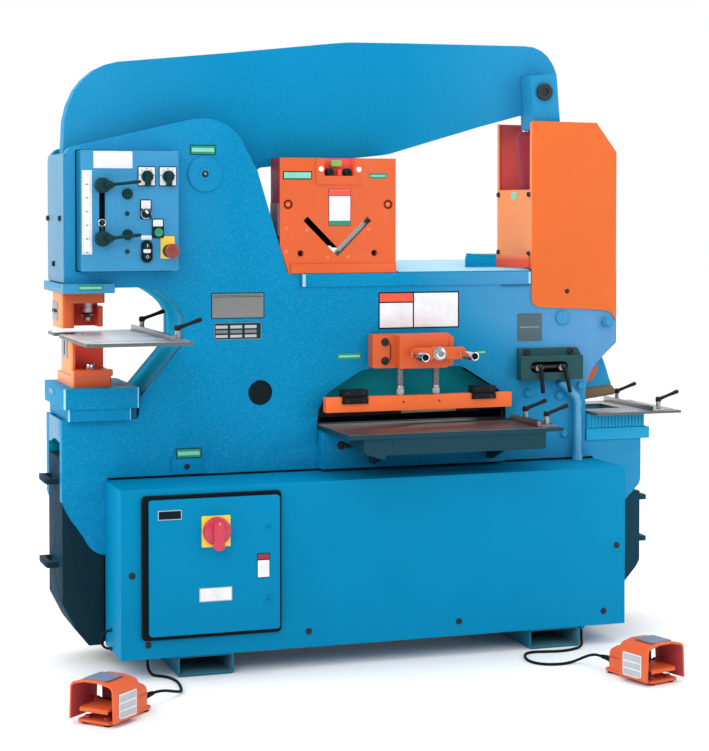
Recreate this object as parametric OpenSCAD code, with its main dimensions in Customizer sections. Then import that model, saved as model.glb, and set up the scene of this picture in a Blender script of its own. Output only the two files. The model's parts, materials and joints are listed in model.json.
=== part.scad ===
// Hydraulic ironworker: punch, angle shear, flat-bar shear, lever block and notcher
// on one two-plate frame. Millimetres, X right, Y to the back, Z up, floor at Z 0.

/* [Frame] */
// thickness of each side plate
plate_t = 40; // [30:1:50]
// depth over both side plates
frame_d = 265; // [220:1:300]
// height of the frame top edge
frame_top = 1126; // [1080:1:1160]
// clearance between a pin and its bore
fit = 0.04; // [0.02:0.01:0.05]

/* [Beams] */
// thickness of the upper punch beam
beam_t = 60; // [40:1:80]
// thickness of the lower shear beam
shear_t = 90; // [60:1:100]
// radius of the upper pivot pin
upper_pin_r = 45; // [30:1:60]
// radius of the lower pivot pin
lower_pin_r = 40; // [30:1:60]

/* [Punch station] */
// punch axis along the machine
punch_x = -784; // [-800:1:-770]
// ram radius
ram_r = 40; // [30:1:48]
// punch radius
punch_r = 16; // [6:1:20]
// top of the gauge table
table_z = 955; // [945:1:965]

/* [Shear station] */
// top of the shear table and lower blade
shear_z = 675; // [665:1:685]
// length of the shear blades
blade_l = 609; // [500:1:610]

/* [Base] */
// fork tube width
tube_w = 164; // [140:1:180]
// fork tube height
tube_h = 60; // [50:1:90]
// fork tube wall
tube_wall = 6; // [4:0.5:10]
// cabinet sheet thickness
sheet_t = 5; // [3:0.5:6]

/* [Cords] */
// foot switch cord diameter
cord_d = 8; // [6:0.5:10]

/* [Hidden] */
$fn = 40;
mid_x = 49.401;
mid_y = -132.059;
yc = frame_d / 2;
rear_y = frame_d - plate_t;
upper_pivot = [-461, 1421];
lower_pivot = [-518, 567];
cyl_foot = [683, 981];
cyl_head = [626, 1682];
shear_lug = [660, 567];
hub = [229, 887.5];
cyl_tilt = atan2(cyl_foot[0] - cyl_head[0], cyl_head[1] - cyl_foot[1]);
cyl_len = norm(cyl_head - cyl_foot);

throat = [[-533,917],[-527,930],[-526,945],[-526,1001],[-531,1015],[-543,1035],[-560,1052],[-577,1065],[-600,1079],[-624,1089],[-650,1092]];
plate_pts = concat(
  [[-872,1096],[-872,1465],[-868,1484],[-858,1494],[-843,1499],[-506,1579],[-480,1583],[-455,1583],[-425,1578],[-398,1567],[-372,1549],[-350,1523],[-332,1488],[-318,1462],[-303,1437]],
  [[-211,1132],[-206,frame_top],[870,frame_top],[870,899],[822,856],[800,835],[780,805],[768,775],[764,745],[764,594]],
  [[957,594],[957,470],[955,458],[950,447],[860,357],[800,300],[780,200],[760,160],[-745,160],[-750,318],[-756,319],[-777,324],[-795,334],[-809,349],[-825,377],[-843,404],[-857,422],[-876,455],[-884,478],[-884,712],[-664,712],[-659,724],[-655,775]],
  throat, [[-735,1092]]);
mouth_pts = [[-118,613],[-118,679],[-114,719],[-97,753],[-73,776],[-3,819],[25,834],[54,838],[340,838],[357,832],[465,765],[481,748],[490,722],[493,690],[493,613]];
beam_pts = [[-859,1490],[-854,1577],[-843,1622],[-824,1664],[-799,1697],[-767,1724],[-733,1741],[-698,1750],[-359,1785],[-29,1822],[20,1826],[182,1828],[600,1830],[630,1827],[655,1817],[676,1801],[693,1779],[704,1757],[710,1733],[711,1700],[711,1630],[690,1614],[594,1614],[447,1575],[149,1488],[120,1483],[-264,1443],[-330,1400],[-380,1340],[-425,1322],[-461,1316],[-540,1322],[-640,1352],[-740,1392],[-840,1400],[-854,1420]];
shear_pts = [[-590,600],[-575,520],[-518,480],[-470,508],[-150,640],[-118,705],[493,722],[560,722],[600,610],[620,540],[640,526],[680,526],[700,540],[715,640],[730,740],[764,750],[790,752],[884,762],[875,783],[865,815],[853,846],[838,864],[764,896],[560,900],[500,1090],[-180,1090],[-300,1000],[-560,655]];
guard_pts = [[577,1591],[797,1588],[866,1497],[866,968],[853,989],[840,998],[822,1002],[735,1008],[607,1013.5],[588,1020],[577,1035]];
vx = -53; vz = 1190;

foot_l = [-924, -640]; foot_l_a = 43;
foot_r = [667, -723]; foot_r_a = 105;
gland_z = 38; gland_l = 45; gland_off = 30;
cord_left_pts = [[-670,-150,48],[-670,-150,41],[-670,-150,33],[-669,-153,20],[-665,-162,9],[-659,-176,4.2],[-649,-189,4.2],[-636,-201,4.2],[-625,-217,4.2],[-618,-235,4.2],[-614,-258,4.2],[-613,-284,4.2],[-615,-312,4.2],[-619,-340,4.2],[-624,-367,5],[-632,-393,8],[-645,-418,14],[-665,-441,22],[-690,-463.5,31],[-714,-485.3,36.5]];
cord_right_pts = [[662,-190,48],[662,-190,41],[662,-190,33],[661,-193,20],[657,-203,9],[650,-217,4.2],[640,-232,4.2],[627,-247,4.2],[610,-259,4.2],[588,-269,4.2],[563,-274,4.2],[535,-273,4.2],[507,-267,4.2],[482,-262,4.2],[460,-264,4.2],[442,-276,4.2],[430,-296,4.2],[421,-320,4.2],[416,-347,4.2],[418,-374,4.2],[428,-397,4.2],[445,-413,4.2],[467,-421,4.2],[490,-423,4.2],[513,-420,5],[533,-418,8],[548,-422,14],[559,-434,22],[566,-452,30],[571.5,-477,36.5]];

function rr(x0,x1,z0,z1,r,n=5) = concat(
  [for(i=[0:n]) [x1-r+r*cos(90*i/n), z1-r+r*sin(90*i/n)]],
  [for(i=[0:n]) [x0+r-r*sin(90*i/n), z1-r+r*cos(90*i/n)]],
  [for(i=[0:n]) [x0+r-r*cos(90*i/n), z0+r-r*sin(90*i/n)]],
  [for(i=[0:n]) [x1-r+r*sin(90*i/n), z0+r-r*cos(90*i/n)]]);

module pxz(pts,y0,y1) translate([0,y1,0]) rotate([90,0,0]) linear_extrude(height=y1-y0) polygon(pts);
module pyz(pts,x0,x1) translate([x0,0,0]) rotate([90,0,90]) linear_extrude(height=x1-x0) polygon(pts);
module pxy(pts,z0,z1) translate([0,0,z0]) linear_extrude(height=z1-z0) polygon(pts);
module bx(x0,x1,y0,y1,z0,z1) translate([x0,y0,z0]) cube([x1-x0,y1-y0,z1-z0]);
module cy(x,z,r,y0,y1) translate([x,y1,z]) rotate([90,0,0]) cylinder(r=r,h=y1-y0);
module cz(x,y,r,z0,z1) translate([x,y,z0]) cylinder(r=r,h=z1-z0);
module cx(y,z,r,x0,x1) translate([x0,y,z]) rotate([0,90,0]) cylinder(r=r,h=x1-x0);
module hexy(x,z,r,y0,y1) translate([x,y1,z]) rotate([90,0,0]) cylinder(r=r,h=y1-y0,$fn=6);
module home() translate([-mid_x,-mid_y,0]) children();

// swept tube along a route of points
function vunit(v) = v / norm(v);
function dirat(p,i) = vunit(i==0 ? p[1]-p[0] : i==len(p)-1 ? p[i]-p[i-1] : vunit(p[i+1]-p[i])+vunit(p[i]-p[i-1]));
function side0(d) = vunit(cross(d, abs(d[2])<0.9 ? [0,0,1] : [0,1,0]));
function sides(p,i) = i==0 ? side0(dirat(p,0)) : let(s=sides(p,i-1), d=dirat(p,i)) vunit(s - (s*d)*d);
module tube(p,r,n=10) {
  sd = [for(i=[0:len(p)-1]) sides(p,i)];
  pts = [for(i=[0:len(p)-1]) for(k=[0:n-1]) let(d=dirat(p,i), s=sd[i], t=cross(d,s)) p[i] + r*(cos(360*k/n)*s + sin(360*k/n)*t)];
  faces = concat([[for(k=[n-1:-1:0]) k]], [[for(k=[0:n-1]) (len(p)-1)*n+k]],
    [for(i=[0:len(p)-2]) for(k=[0:n-1]) [i*n+k, i*n+(k+1)%n, (i+1)*n+(k+1)%n, (i+1)*n+k]]);
  polyhedron(points=pts, faces=[for(f=faces) [for(j=[len(f)-1:-1:0]) f[j]]], convexity=6);
}

// ---------------- frame ----------------
module front_side_plate() color([0.0,0.5,0.75]) home() difference() {
  union() {
    pxz(plate_pts, 0, plate_t);
    bx(-172, 574, -5, 0, 1087, frame_top);
    bx(-117, 470, -44, 0, 546, 660);
  }
  pxz(mouth_pts, -1, plate_t+1);
  cy(upper_pivot[0], upper_pivot[1], upper_pin_r, -1, plate_t+1);
  cy(lower_pivot[0], lower_pivot[1], lower_pin_r, -1, plate_t+1);
  cy(cyl_foot[0], cyl_foot[1], 22, -1, plate_t+1);
  cy(-294, 776, 37, -1, 14);
}
module rear_side_plate() color([0.0,0.5,0.75]) home() difference() {
  pxz(plate_pts, rear_y, frame_d);
  pxz([[-118,676],[-118,719],[-73,776],[25,834],[54,838],[340,838],[465,765],[493,722],[493,676]], rear_y-1, frame_d+1);
  cy(upper_pivot[0], upper_pivot[1], upper_pin_r, rear_y-1, frame_d+1);
  cy(lower_pivot[0], lower_pivot[1], lower_pin_r, rear_y-1, frame_d+1);
  cy(cyl_foot[0], cyl_foot[1], 22, rear_y-1, frame_d+1);
}
module frame_spacers() color([0.05,0.52,0.76]) home() {
  pxz(concat([[-688,711.5],[-664,711.5],[-659,724],[-655,775]], throat, [[-720,1092],[-720,1106],[-650,1106],[-620,1103],[-594,1092],[-569,1077],[-551,1063],[-532,1044],[-518,1021],[-512,1003],[-512,943],[-514,926],[-522,908],[-645,766],[-649,722],[-654,706],[-688,706]]), plate_t, rear_y);
  difference() {
    bx(-850, -722, plate_t, rear_y, 1106, 1300);
    cz(punch_x, yc, ram_r+fit, 1100, 1310);
  }
  bx(-480, -400, plate_t, rear_y, 1110, 1250);
  bx(790, 860, plate_t, rear_y, 930, 1110);
  bx(800, 940, plate_t, rear_y, 480, 585);
  bx(-865, -690, plate_t, rear_y, 630, 708);
  bx(-400, 300, plate_t, rear_y, 446, 476);
}
module frame_covers() color([0.35,0.65,0.85]) home() {
  // punch head cap with the ram bore
  difference() {
    bx(-885, -735, -33, 295, 1078, 1092);
    cz(punch_x, yc, ram_r+1, 1070, 1110);
  }
  // rims of the cap in front of and behind the side plates
  bx(-885, -735, -33, -1, 1092, 1105);
  bx(-885, -735, frame_d+1, 295, 1092, 1105);
  // left end sheet
  pyz([[1,1108],[264,1108],[264,1455],[258,1470],[245,1478],[1,1478]], -877, -872);
  // sloping top cover
  pyz([[0,frame_top],[frame_d,frame_top],[frame_d,1157],[0,frame_top+4]], 140, 574);
  // hose cover behind the cylinder guard
  difference() { bx(579, 700, frame_d+5, 470, 1060, 1170); bx(583, 696, frame_d+4, 466, 1050, 1166); }
}
module pivot_pins() color([0.3,0.62,0.82]) home() {
  cy(upper_pivot[0], upper_pivot[1], upper_pin_r-fit, 0, frame_d);
  difference() { cy(upper_pivot[0], upper_pivot[1], 52, -5, 0); cy(upper_pivot[0], upper_pivot[1], 10, -6, -2); }
  cy(upper_pivot[0], upper_pivot[1], 52, frame_d, frame_d+5);
  cy(lower_pivot[0], lower_pivot[1], lower_pin_r-fit, 0, frame_d);
  difference() { pxz(concat([for(i=[0:10]) [lower_pivot[0]+46*cos(18*i), lower_pivot[1]+8+46*sin(18*i)]], [[-564,545],[-472,545]]), -4, 0); cy(lower_pivot[0], lower_pivot[1], 9, -5, -1); }
  cy(lower_pivot[0], lower_pivot[1], 46, frame_d, frame_d+4);
  cy(cyl_foot[0], cyl_foot[1], 22-fit, -3, frame_d+3);
  cy(832, 964, 16, -22, 0);
  cy(832, 964, 11, -28, -22);
}
module base_tank() color([0.05,0.1,0.14]) home() {
  pxz([[-884,600],[-640,600],[-600,430],[585,430],[585,150],[735,150],[735,420],[975,420],[975,200],[965,180],[930,140],[880,90],[850,tube_h],[-808,tube_h],[-846,110],[-884,185]], plate_t, rear_y);
  // cheek below the left end of the front plate
  pxz([[-884,476],[-876,454],[-857,421],[-843,403],[-825,376],[-809,348],[-795,333],[-777,323],[-764,320],[-764,tube_h],[-808,tube_h],[-846,110],[-884,185]], 1, plate_t+2);
  for (z=[531,288]) tank_handle(-884, z, -1);
  for (z=[395,262]) tank_handle(975, z, 1);
}
module tank_handle(x,z,s) translate([x,0,z]) scale_x(s) {
  bx(0, 34, 62, 78, -8, 8);
  bx(0, 34, 182, 198, -8, 8);
  bx(20, 36, 78, 182, -8, 8);
}
module scale_x(s) { if (s > 0) children(); else mirror([1,0,0]) children(); }
module fork_tubes() color([0.1,0.45,0.6]) home() for (x=[-597, 481]) difference() {
  pxz_tube(x, 0);
  pxz_tube(x, tube_wall);
}
module pxz_tube(x,w) pxz(rr(x+w, x+tube_w-w, w, tube_h-w, max(2, 10-w)), w > 0 ? -213 : -212, w > 0 ? 478 : 477);

// ---------------- cabinet ----------------
module front_cabinet() color([0.0,0.52,0.78]) home() { cabinet_box(); conduit(); cord_glands(); }
module cabinet_box() difference() {
  bx(-760, 793, -220, 0, tube_h, 537);
  bx(-760+sheet_t, 793-sheet_t, -220+sheet_t, -sheet_t, tube_h+sheet_t, 537-sheet_t);
  pxz(rr(-674,-318,140,496,8), -225, -220+sheet_t+1);
}
module cord_glands() for (p=[[-670,-150],[662,-190]]) cz(p[0], p[1], 10, tube_h-12, tube_h+1);
module door_seal() color([0.03,0.03,0.04]) home() difference() {
  pxz(rr(-702,-297,113,519,12), -230, -220);
  pxz(rr(-676,-316,138,498,8), -231, -219);
}
module enclosure_door() color([0.0,0.52,0.78]) home() difference() {
  pxz(rr(-684,-307,127,508,8), -248, -231);
  pxz(rr(-680,-311,131,504,6), -244.5, -230);
  cy(-494, 416, 8.5, -250, -240);
}
module disconnect_handle() color([0.85,0.1,0.08]) home() {
  cy(-494, 416, 8, -254, -236);
  cy(-494, 416, 40, -268, -254);
  pxz(rr(-508,-480,382,446,9), -292, -267);
}
module electrical_panel() color([0.75,0.76,0.78]) home() {
  bx(-670, -322, -9, -5, 145, 490);
  for (x=[-650,-580,-510]) bx(x, x+52, -90, -9, 360, 450);
  bx(-650, -390, -76, -9, 230, 320);
  bx(-640, -360, -50, -9, 165, 195);
  bx(-420, -345, -100, -9, 350, 460);
}
// motor, pump, valve block and the shear cylinder barrel
module power_unit() color([0.25,0.3,0.35]) home() {
  shear_barrel();
  cx(-110, 205, 82, 60, 330);
  cx(-110, 205, 70, 330, 345);
  bx(80, 310, -170, -50, tube_h+sheet_t, 135);
  bx(345, 430, -160, -60, 150, 260);
  bx(500, 690, -180, -60, tube_h+sheet_t, 230);
  for (x=[520,580,640]) bx(x, x+40, -150, -90, 230, 330);
  bx(100, 300, -150, -70, 275, 330);
}

// ---------------- control box ----------------
module control_box() color([0.0,0.5,0.76]) home() difference() {
  pxz(rr(-840,-557,1142,1486,5), -70, 0);
  bx(-836, -561, -66, 1, 1146, 1482);
  pxz(rr(-788,-770,1205,1412,9), -80, -60);
  for (p=[[-651,1215],[-651,1183]]) cy(p[0], p[1], 6.4, -80, -60);
  cy(-618, 1252, 8.4, -80, -60);
  cy(-585, 1199, 9.4, -80, -60);
  cy(-653, 1306, 7.4, -80, -60);
  for (x=[-650,-588.5]) cy(x, 1412, 7.4, -80, -60);
}
module push(x,z,rc,rs,l) { cy(x, z, rc, -70-l-8, -70-l); cy(x, z, rs, -70-l, -58); }
module start_button() color([0.05,0.55,0.2]) home() push(-618, 1252, 12, 8, 8);
module on_button() color([0.9,0.9,0.88]) home() push(-651, 1215, 9, 6, 7);
module off_button() color([0.1,0.1,0.1]) home() push(-651, 1183, 9, 6, 7);
module estop_button() color([0.85,0.08,0.08]) home() { cy(-585, 1199, 21, -116, -102); cy(-585, 1199, 15, -102, -94); cy(-585, 1199, 9, -94, -58); }
module mode_selector() color([0.12,0.12,0.13]) home() { cy(-653, 1306, 13, -84, -76); cy(-653, 1306, 7, -76, -58); translate([-653,0,1306]) rotate([0,-40,0]) pxz(rr(-4,4,-10,10,3), -98, -81); }
module cam_knob(x,a) { cy(x, 1412, 7, -76, -58); cy(x, 1412, 18, -84, -76); translate([x,0,1412]) rotate([0,a,0]) pxz(rr(-5,5,-15,15,4), -104, -81); }
module cam_switch_left() color([0.05,0.05,0.06]) home() cam_knob(-650, 0);
module cam_switch_right() color([0.05,0.05,0.06]) home() cam_knob(-588.5, 0);
module stroke_stop(z) {
  cy(-779, z, 7, -71, -52);
  cy(-779, z, 15, -96, -71);
  cy(-779, z, 12, -104, -96);
  translate([-779,-100,z]) rotate([0,84,0]) translate([0,0,8]) cylinder(r1=5.5, r2=7.5, h=92);
}
module stroke_stop_upper() color([0.04,0.04,0.05]) home() stroke_stop(1386);
module stroke_stop_lower() color([0.04,0.04,0.05]) home() stroke_stop(1235);

// ---------------- punch station ----------------
module stripper_housing() color([0.95,0.45,0.2]) home() difference() {
  union() {
    pxy(rr(-875,-745,55,210,14), 1046, 1078);
    pxy(rr(-875,-835,55,210,14), 974, 1046);
    bx(-850, -745, 176, 210, 974, 1046);
    pxy(rr(-756,-741,112,210,5), 974, 1034);
  }
  cz(punch_x, yc, ram_r+1.5, 1040, 1080);
}
module die_holder() color([0.95,0.42,0.18]) home() difference() {
  union() {
    pxy(rr(-852,-738,4,262,10), 806, 838);
    pxy(rr(-852,-734,0,40,8), 838, 856);
    pxy(rr(-848,-742,46,218,12), 838, 945);
  }
  bx(-836, -730, 30, 108, 856, 922);
  cz(punch_x, yc, 36.1, 925, 950);
  cz(punch_x, yc, 20, 800, 950);
}
// die table at the punch end and die block at the notcher end
module station_blocks() color([0.1,0.52,0.77]) home() { die_table_block(); notcher_die_block(); }
module die_table_block() difference() {
  union() {
    pxy(rr(-884,-665,-35,300,8), 747, 806);
    pxy(rr(-870,-687,-26,291,6), 712, 747);
  }
  cz(punch_x, yc, 24, 700, 810);
  for (y=[40,225]) cz(-700, y, 8, 776, 810);
}
module gauge_tables() color([0.72,0.73,0.75]) home() {
  difference() {
    bx(-875, -578, -335, 280, table_z-10, table_z);
    cz(punch_x, yc, 42, table_z-11, table_z+1);
    bx(-880, punch_x, yc-42, yc+42, table_z-11, table_z+1);
    for (y=[196,-262]) pxy(rr(-845,-590,y-6,y+6,5), table_z-11, table_z+1);
  }
  difference() {
    bx(772, 1065, -66, 293, 677, 685);
    bx(782, 915, 62, 203, 676, 686);
    for (y=[252,-40]) pxy(rr(925,1052,y-5,y+5,4), 676, 686);
  }
}
module fence_lever(x,y,z) {
  translate([x,y,z]) {
    cylinder(r=9, h=26);
    translate([0,0,26]) cylinder(r1=9, r2=7, h=10);
    translate([0,0,28]) rotate([0,72,0]) translate([0,0,4]) cylinder(r1=5, r2=7, h=70);
  }
}
module punch_fence() color([0.6,0.61,0.63]) home() {
  bx(-632, -592, -296, 241, table_z, table_z+5);
  bx(-632, -620, -296, 241, table_z+5, table_z+16);
}
module punch_lever_rear() color([0.05,0.05,0.06]) home() fence_lever(-607, 196, table_z+5);
module punch_lever_front() color([0.05,0.05,0.06]) home() fence_lever(-607, -262, table_z+5);
module punch_ram() color([0.6,0.62,0.64]) home() {
  cz(punch_x, yc, ram_r, 1082, 1358);
  cz(punch_x, yc, 47, 1358, 1379.7);
  cz(punch_x, yc, 15, 1016, 1082);
  translate([punch_x,yc,1002]) cylinder(r1=17, r2=22, h=6);
  translate([punch_x,yc,1008]) cylinder(r1=22, r2=15, h=8);
  cz(punch_x, yc, punch_r-4, 992, 1002);
}
module punch_beam() color([0.25,0.6,0.82]) home() difference() {
  union() {
    pxz(beam_pts, yc-beam_t/2, yc+beam_t/2);
    cy(punch_x, 1410, 30, yc-beam_t/2, yc+beam_t/2);
  }
  cy(upper_pivot[0], upper_pivot[1], upper_pin_r+fit, 0, frame_d);
  cy(cyl_head[0], cyl_head[1], 20, 0, frame_d);
}
module beam_end_pin() color([0.1,0.12,0.14]) home() {
  cy(cyl_head[0], cyl_head[1], 20-fit, 14, 251);
  difference() { cy(cyl_head[0], cyl_head[1], 26, 6, 14); hexy(cyl_head[0], cyl_head[1], 10, 5, 10); }
  cy(cyl_head[0], cyl_head[1], 26, 251, 257);
}
// cylinder parts are drawn upright at the foot pin, then leaned onto the head pin
module lean() translate([cyl_foot[0], yc, cyl_foot[1]]) rotate([0,-cyl_tilt,0]) children();
module punch_cylinder_barrel() color([0.2,0.24,0.28]) home() difference() {
  lean() difference() {
    union() {
      translate([0,40,0]) rotate([90,0,0]) cylinder(r=40, h=80);
      translate([-30,-30,20]) cube([60,60,30]);
      translate([0,0,42]) cylinder(r=50, h=532);
      translate([0,0,574]) cylinder(r=42, h=12);
    }
    translate([0,0,60]) cylinder(r=38, h=496);
    translate([0,0,546]) cylinder(r=30+fit, h=50);
  }
  cy(cyl_foot[0], cyl_foot[1], 22+fit, 0, frame_d);
}
module punch_cylinder_rod() color([0.8,0.81,0.83]) home() lean() {
  translate([0,0,250]) cylinder(r=30, h=341);
  translate([0,0,235]) cylinder(r=37.5, h=15);
}
module rod_clevis() color([0.3,0.63,0.84]) home() lean() difference() {
  union() {
    translate([0,0,591]) linear_extrude(28) polygon([[-40,-115],[48,-115],[48,115],[17,115],[17,40],[-30,10],[-40,-33]]);
    translate([-40,-115,619]) cube([88,82,137]);
    // rear arm, stepped out above the crossbar
    translate([17,33,619]) cube([31,82,34]);
    translate([-40,33,653]) cube([88,82,103]);
  }
  translate([0,200,cyl_len]) rotate([90,0,0]) cylinder(r=22.2, h=400);
}

// ---------------- shear beam ----------------
module shear_beam() color([0.02,0.45,0.68]) home() difference() {
  union() {
    pxz(shear_pts, 60, 60+shear_t);
    cy(lower_pivot[0], lower_pivot[1], 75, 60, 60+shear_t);
  }
  cy(lower_pivot[0], lower_pivot[1], lower_pin_r+fit, 0, frame_d);
  cy(shear_lug[0], shear_lug[1], 21, 0, frame_d);
}
module moving_blades() color([0.72,0.66,0.55]) home() {
  // flat-bar blade
  pxz([[-117,690],[-117,742],[491,742],[491,698]], 43.4, 60);
  // notcher blade under the arm
  pxz([[797,752.745],[797,714],[901,727],[905,741],[893,757],[884,762]], 76, 134);
  // angle blade standing on the beam
  difference() {
    bx(-203, 74, 64, 92, 1090, 1400);
    angle_slot(24, 60, 95);
  }
}
module angle_slot(w,y0,y1) for (s=[-1,1]) translate([vx,0,vz]) rotate([0,-45*s,0]) bx(s>0?-w/2:-142, s>0?142:w/2, y0, y1, -w/2, w/2);
module shear_cylinder_rod() color([0.8,0.81,0.83]) home() {
  cz(660, 105, 28, 300, 470);
  bx(622, 698, 44, 166, 470, 505);
  for (y=[44,154]) bx(632, 688, y, y+12, 505, 595);
  cy(shear_lug[0], shear_lug[1], 19.5, 56, 154);
}
module shear_barrel() difference() {
  union() {
    cz(660, 105, 55, 166, 402);
    bx(600, 720, 46, 164, 150, 166);
  }
  cz(660, 105, 42, 186, 380);
  cz(660, 105, 28+fit, 370, 410);
}
module fixed_blades() color([0.62,0.62,0.62]) home() {
  difference() {
    bx(-117, 492, 0, 42.4, 613, shear_z);
    bx(-130, 500, -1, 8, 600, 640);
  }
  // punch die
  difference() { cz(punch_x, yc, 36, 925, table_z); cz(punch_x, yc, punch_r+1.5, 920, table_z+1); }
  // angle knives along the lower edges of the slot
  for (s=[-1,1]) translate([vx,0,vz]) rotate([0,-45*s,0]) bx(s>0?14:-138, s>0?138:-14, 6, 56, -20, -9);
}

// ---------------- angle shear ----------------
module angle_housing() color([0.96,0.46,0.24]) home() difference() {
  union() {
    pxz([[-233,1471],[132,1471],[132,frame_top],[-206,frame_top],[-233,1212]], 2, 58);
    pxz([[-233,1471],[-222,1471],[-222,1240],[-233,1240]], 58, 98);
    pxz([[121,1471],[132,1471],[132,frame_top],[121,frame_top]], 58, 98);
    bx(-222, 121, 58, 98, 1456, 1471);
    bx(-200, 132, -4, 2, frame_top+2, 1155);
    pxz(rr(-121,22,1392,1471,3), -3, 2);
  }
  angle_slot(18, -10, 70);
  for (s=[-1,1]) translate([vx,0,vz]) rotate([0,-45*s,0]) bx(s>0?14:-138.3, s>0?138.3:-14, 5.8, 56.2, -20.2, -8.5);
  bx(-96, -1, -5, 40, 1418, 1480);
  for (x=[-207,107]) cy(x, 1333, 10, -1, 30);
  for (x=[-169,63]) cy(x, 1187, 8, -1, 30);
}

// ---------------- shear table and hold-down ----------------
module shear_table() color([0.4,0.38,0.36]) home() {
  difference() {
    bx(-117, 500, -292, 0, 660, shear_z);
    for (y=[-90,-246]) pxy(rr(180,480,y-6,y+6,5), 659, shear_z+1);
  }
  bx(20, 500, -286, -268, 612, 660);
  for (x=[30,410]) pyz([[-44,560],[-44,656],[-44,660],[-262,660],[-262,630],[-70,560]], x, x+12);
  bx(500, 558, -284, -264, 662, 672);
}
module shear_fence() color([0.5,0.5,0.51]) home() {
  bx(478, 540, -272, -62, shear_z, shear_z+6);
  bx(478, 490, -272, -62, shear_z+6, shear_z+18);
}
module shear_lever_rear() color([0.05,0.05,0.06]) home() fence_lever(520, -90, shear_z+6);
module shear_lever_front() color([0.05,0.05,0.06]) home() fence_lever(520, -246, shear_z+6);
module holddown_housing() color([0.95,0.42,0.18]) home() difference() {
  union() {
    pxz(rr(44,292,842,943,5), -40, 0);
    pxz(rr(115,270,842,943,4), -80, -40);
    pxz(rr(270,291,848,938,8), -70, -40);
  }
  for (x=[131.5,246.4]) cz(x, -40, 13, 835, 936);
  cy(hub[0], hub[1], 10.3, -90, -56);
}
// clamp bar with the two lifting screws seated in it
module holddown_bar() color([0.95,0.4,0.16]) home() {
  difference() {
    bx(-107, 490, -54, -24, 714, 759);
    for (x=[131.5,246.4]) cz(x, -40, 9, 740, 760);
  }
  for (x=[131.5,246.4]) {
    cz(x, -40, 8.95, 740, 759);
    cz(x, -40, 15, 759, 784);
    cz(x, -40, 11, 784, 900);
  }
}
module holddown_crank() color([0.95,0.42,0.18]) home() {
  pxz(rr(hub[0]-88,hub[0]+88,hub[1]-18,hub[1]+18,14), -114, -102);
  cy(hub[0], hub[1], 22, -102, -81);
  cy(hub[0], hub[1], 10, -81, -62);
  for (s=[-1,1]) { cy(hub[0]+s*78, hub[1]-4, 13, -206, -120); cy(hub[0]+s*78, hub[1]-4, 7, -120, -114); }
  hexy(hub[0], hub[1], 19, -128, -114);
}

// ---------------- right stations ----------------
module cylinder_guard() color([0.96,0.48,0.26]) home() {
  pxz(guard_pts, -5, -1);
  pxz([[577,1591],[797,1588],[866,1497],[866,965],[838,984],[577,1037]], frame_d+1, frame_d+5);
  pxz([[866,frame_top+2],[866,1497],[797,1588],[794,1584],[862,1495.7],[862,frame_top+2]], -1, frame_d+1);
  bx(577, 581, -1, frame_d+1, frame_top+6, 1379);
  bx(577, 581, -1, 12, 1379, 1588);
  bx(577, 581, frame_d-11, frame_d+1, 1379, 1588);
}
module lever_block() color([0.16,0.24,0.28]) home() difference() {
  union() {
    pxz([[530,791],[728,791],[742,866],[728,888],[530,888]], -14, 0);
    pxz(rr(524,734,791,866,4), -46, -14);
  }
  pxz(rr(556,682,815,848,16), -50, -12);
}
module block_levers() color([0.04,0.04,0.05]) home() {
  cx(-34, 832, 7, 559, 679);
  for (x=[586,664]) {
    cx(-34, 832, 11, x-9, x+9);
    cy(x, 832, 5.5, -58, -34);
    cz(x, -58, 7, 752, 840);
  }
}
module conduit() {
  p = [[676,-20,776],[700,-20,755],[720,-20,734],[727,-20,712],[727,-20,552]];
  for (i=[0:3]) pipe(p[i], p[i+1], 13.5);
  for (i=[0:3]) translate(p[i]) sphere(r=14.3, $fn=32);
  cy(676, 776, 13.1, -20, 0);
  cz(727, -20, 17, 537, 556);
}
module pipe(a,b,r) { v = b-a; l = norm(v); translate(a) rotate([0, acos(v[2]/l), atan2(v[1],v[0])]) cylinder(r=r, h=l); }
module notcher_die_block() difference() {
  union() {
    bx(766, 968, 0, frame_d, 630, 677);
    bx(766, 984, -6, frame_d+6, 594.2, 630);
    for (x=[790:24:940]) bx(x, x+10, -5, 0, 634, 672);
  }
  bx(782, 915, 62, 203, 585, 690);
}
module notcher_fence() color([0.5,0.5,0.51]) home() {
  bx(968, 1012, -62, 290, 685, 690);
  bx(968, 980, -62, 290, 690, 700);
}
module notcher_lever_rear() color([0.05,0.05,0.06]) home() fence_lever(998, 252, 690);
module notcher_lever_front() color([0.05,0.05,0.06]) home() fence_lever(998, -40, 690);

// ---------------- fasteners ----------------
module frame_fasteners() color([0.1,0.12,0.14]) home() {
  cy(-294, 776, 36.5, 3, 14);
  for (p=[[-728,297],[-683,100],[-213,106],[251,103],[722,102],[765,300]]) cy(p[0], p[1], 6, -224, -220);
  for (z=[863,920]) cy(83, z, 8, -48, -40);
  for (x=[556,704]) cy(x, 877, 9, -22, -14);
  for (p=[[566,748],[672,738],[746,767],[689,619]]) hexy(p[0], p[1], 13, -9, 0);
  for (p=[[-706,1362],[-706,1246]]) cy(p[0], p[1], 13, -84, -70);
  for (p=[[-707,1306],[-707,1198]]) cy(p[0], p[1], 7, -77, -70);
  for (y=[16,256], z=[1180,1364]) cx(y, z, 7, 573, 577);
  cy(697, 1063, 6, -9, -5);
  for (p=[[45,1292],[245,1292],[150,1159]]) cx(p[0], p[1], 8, -885, -877);
  for (x=[-75,-22]) cy(x, 1436, 10, 30, 40);
  for (x=[106], z=[1194,1262]) cy(x, z, 6, -3, 2);
}

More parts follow.
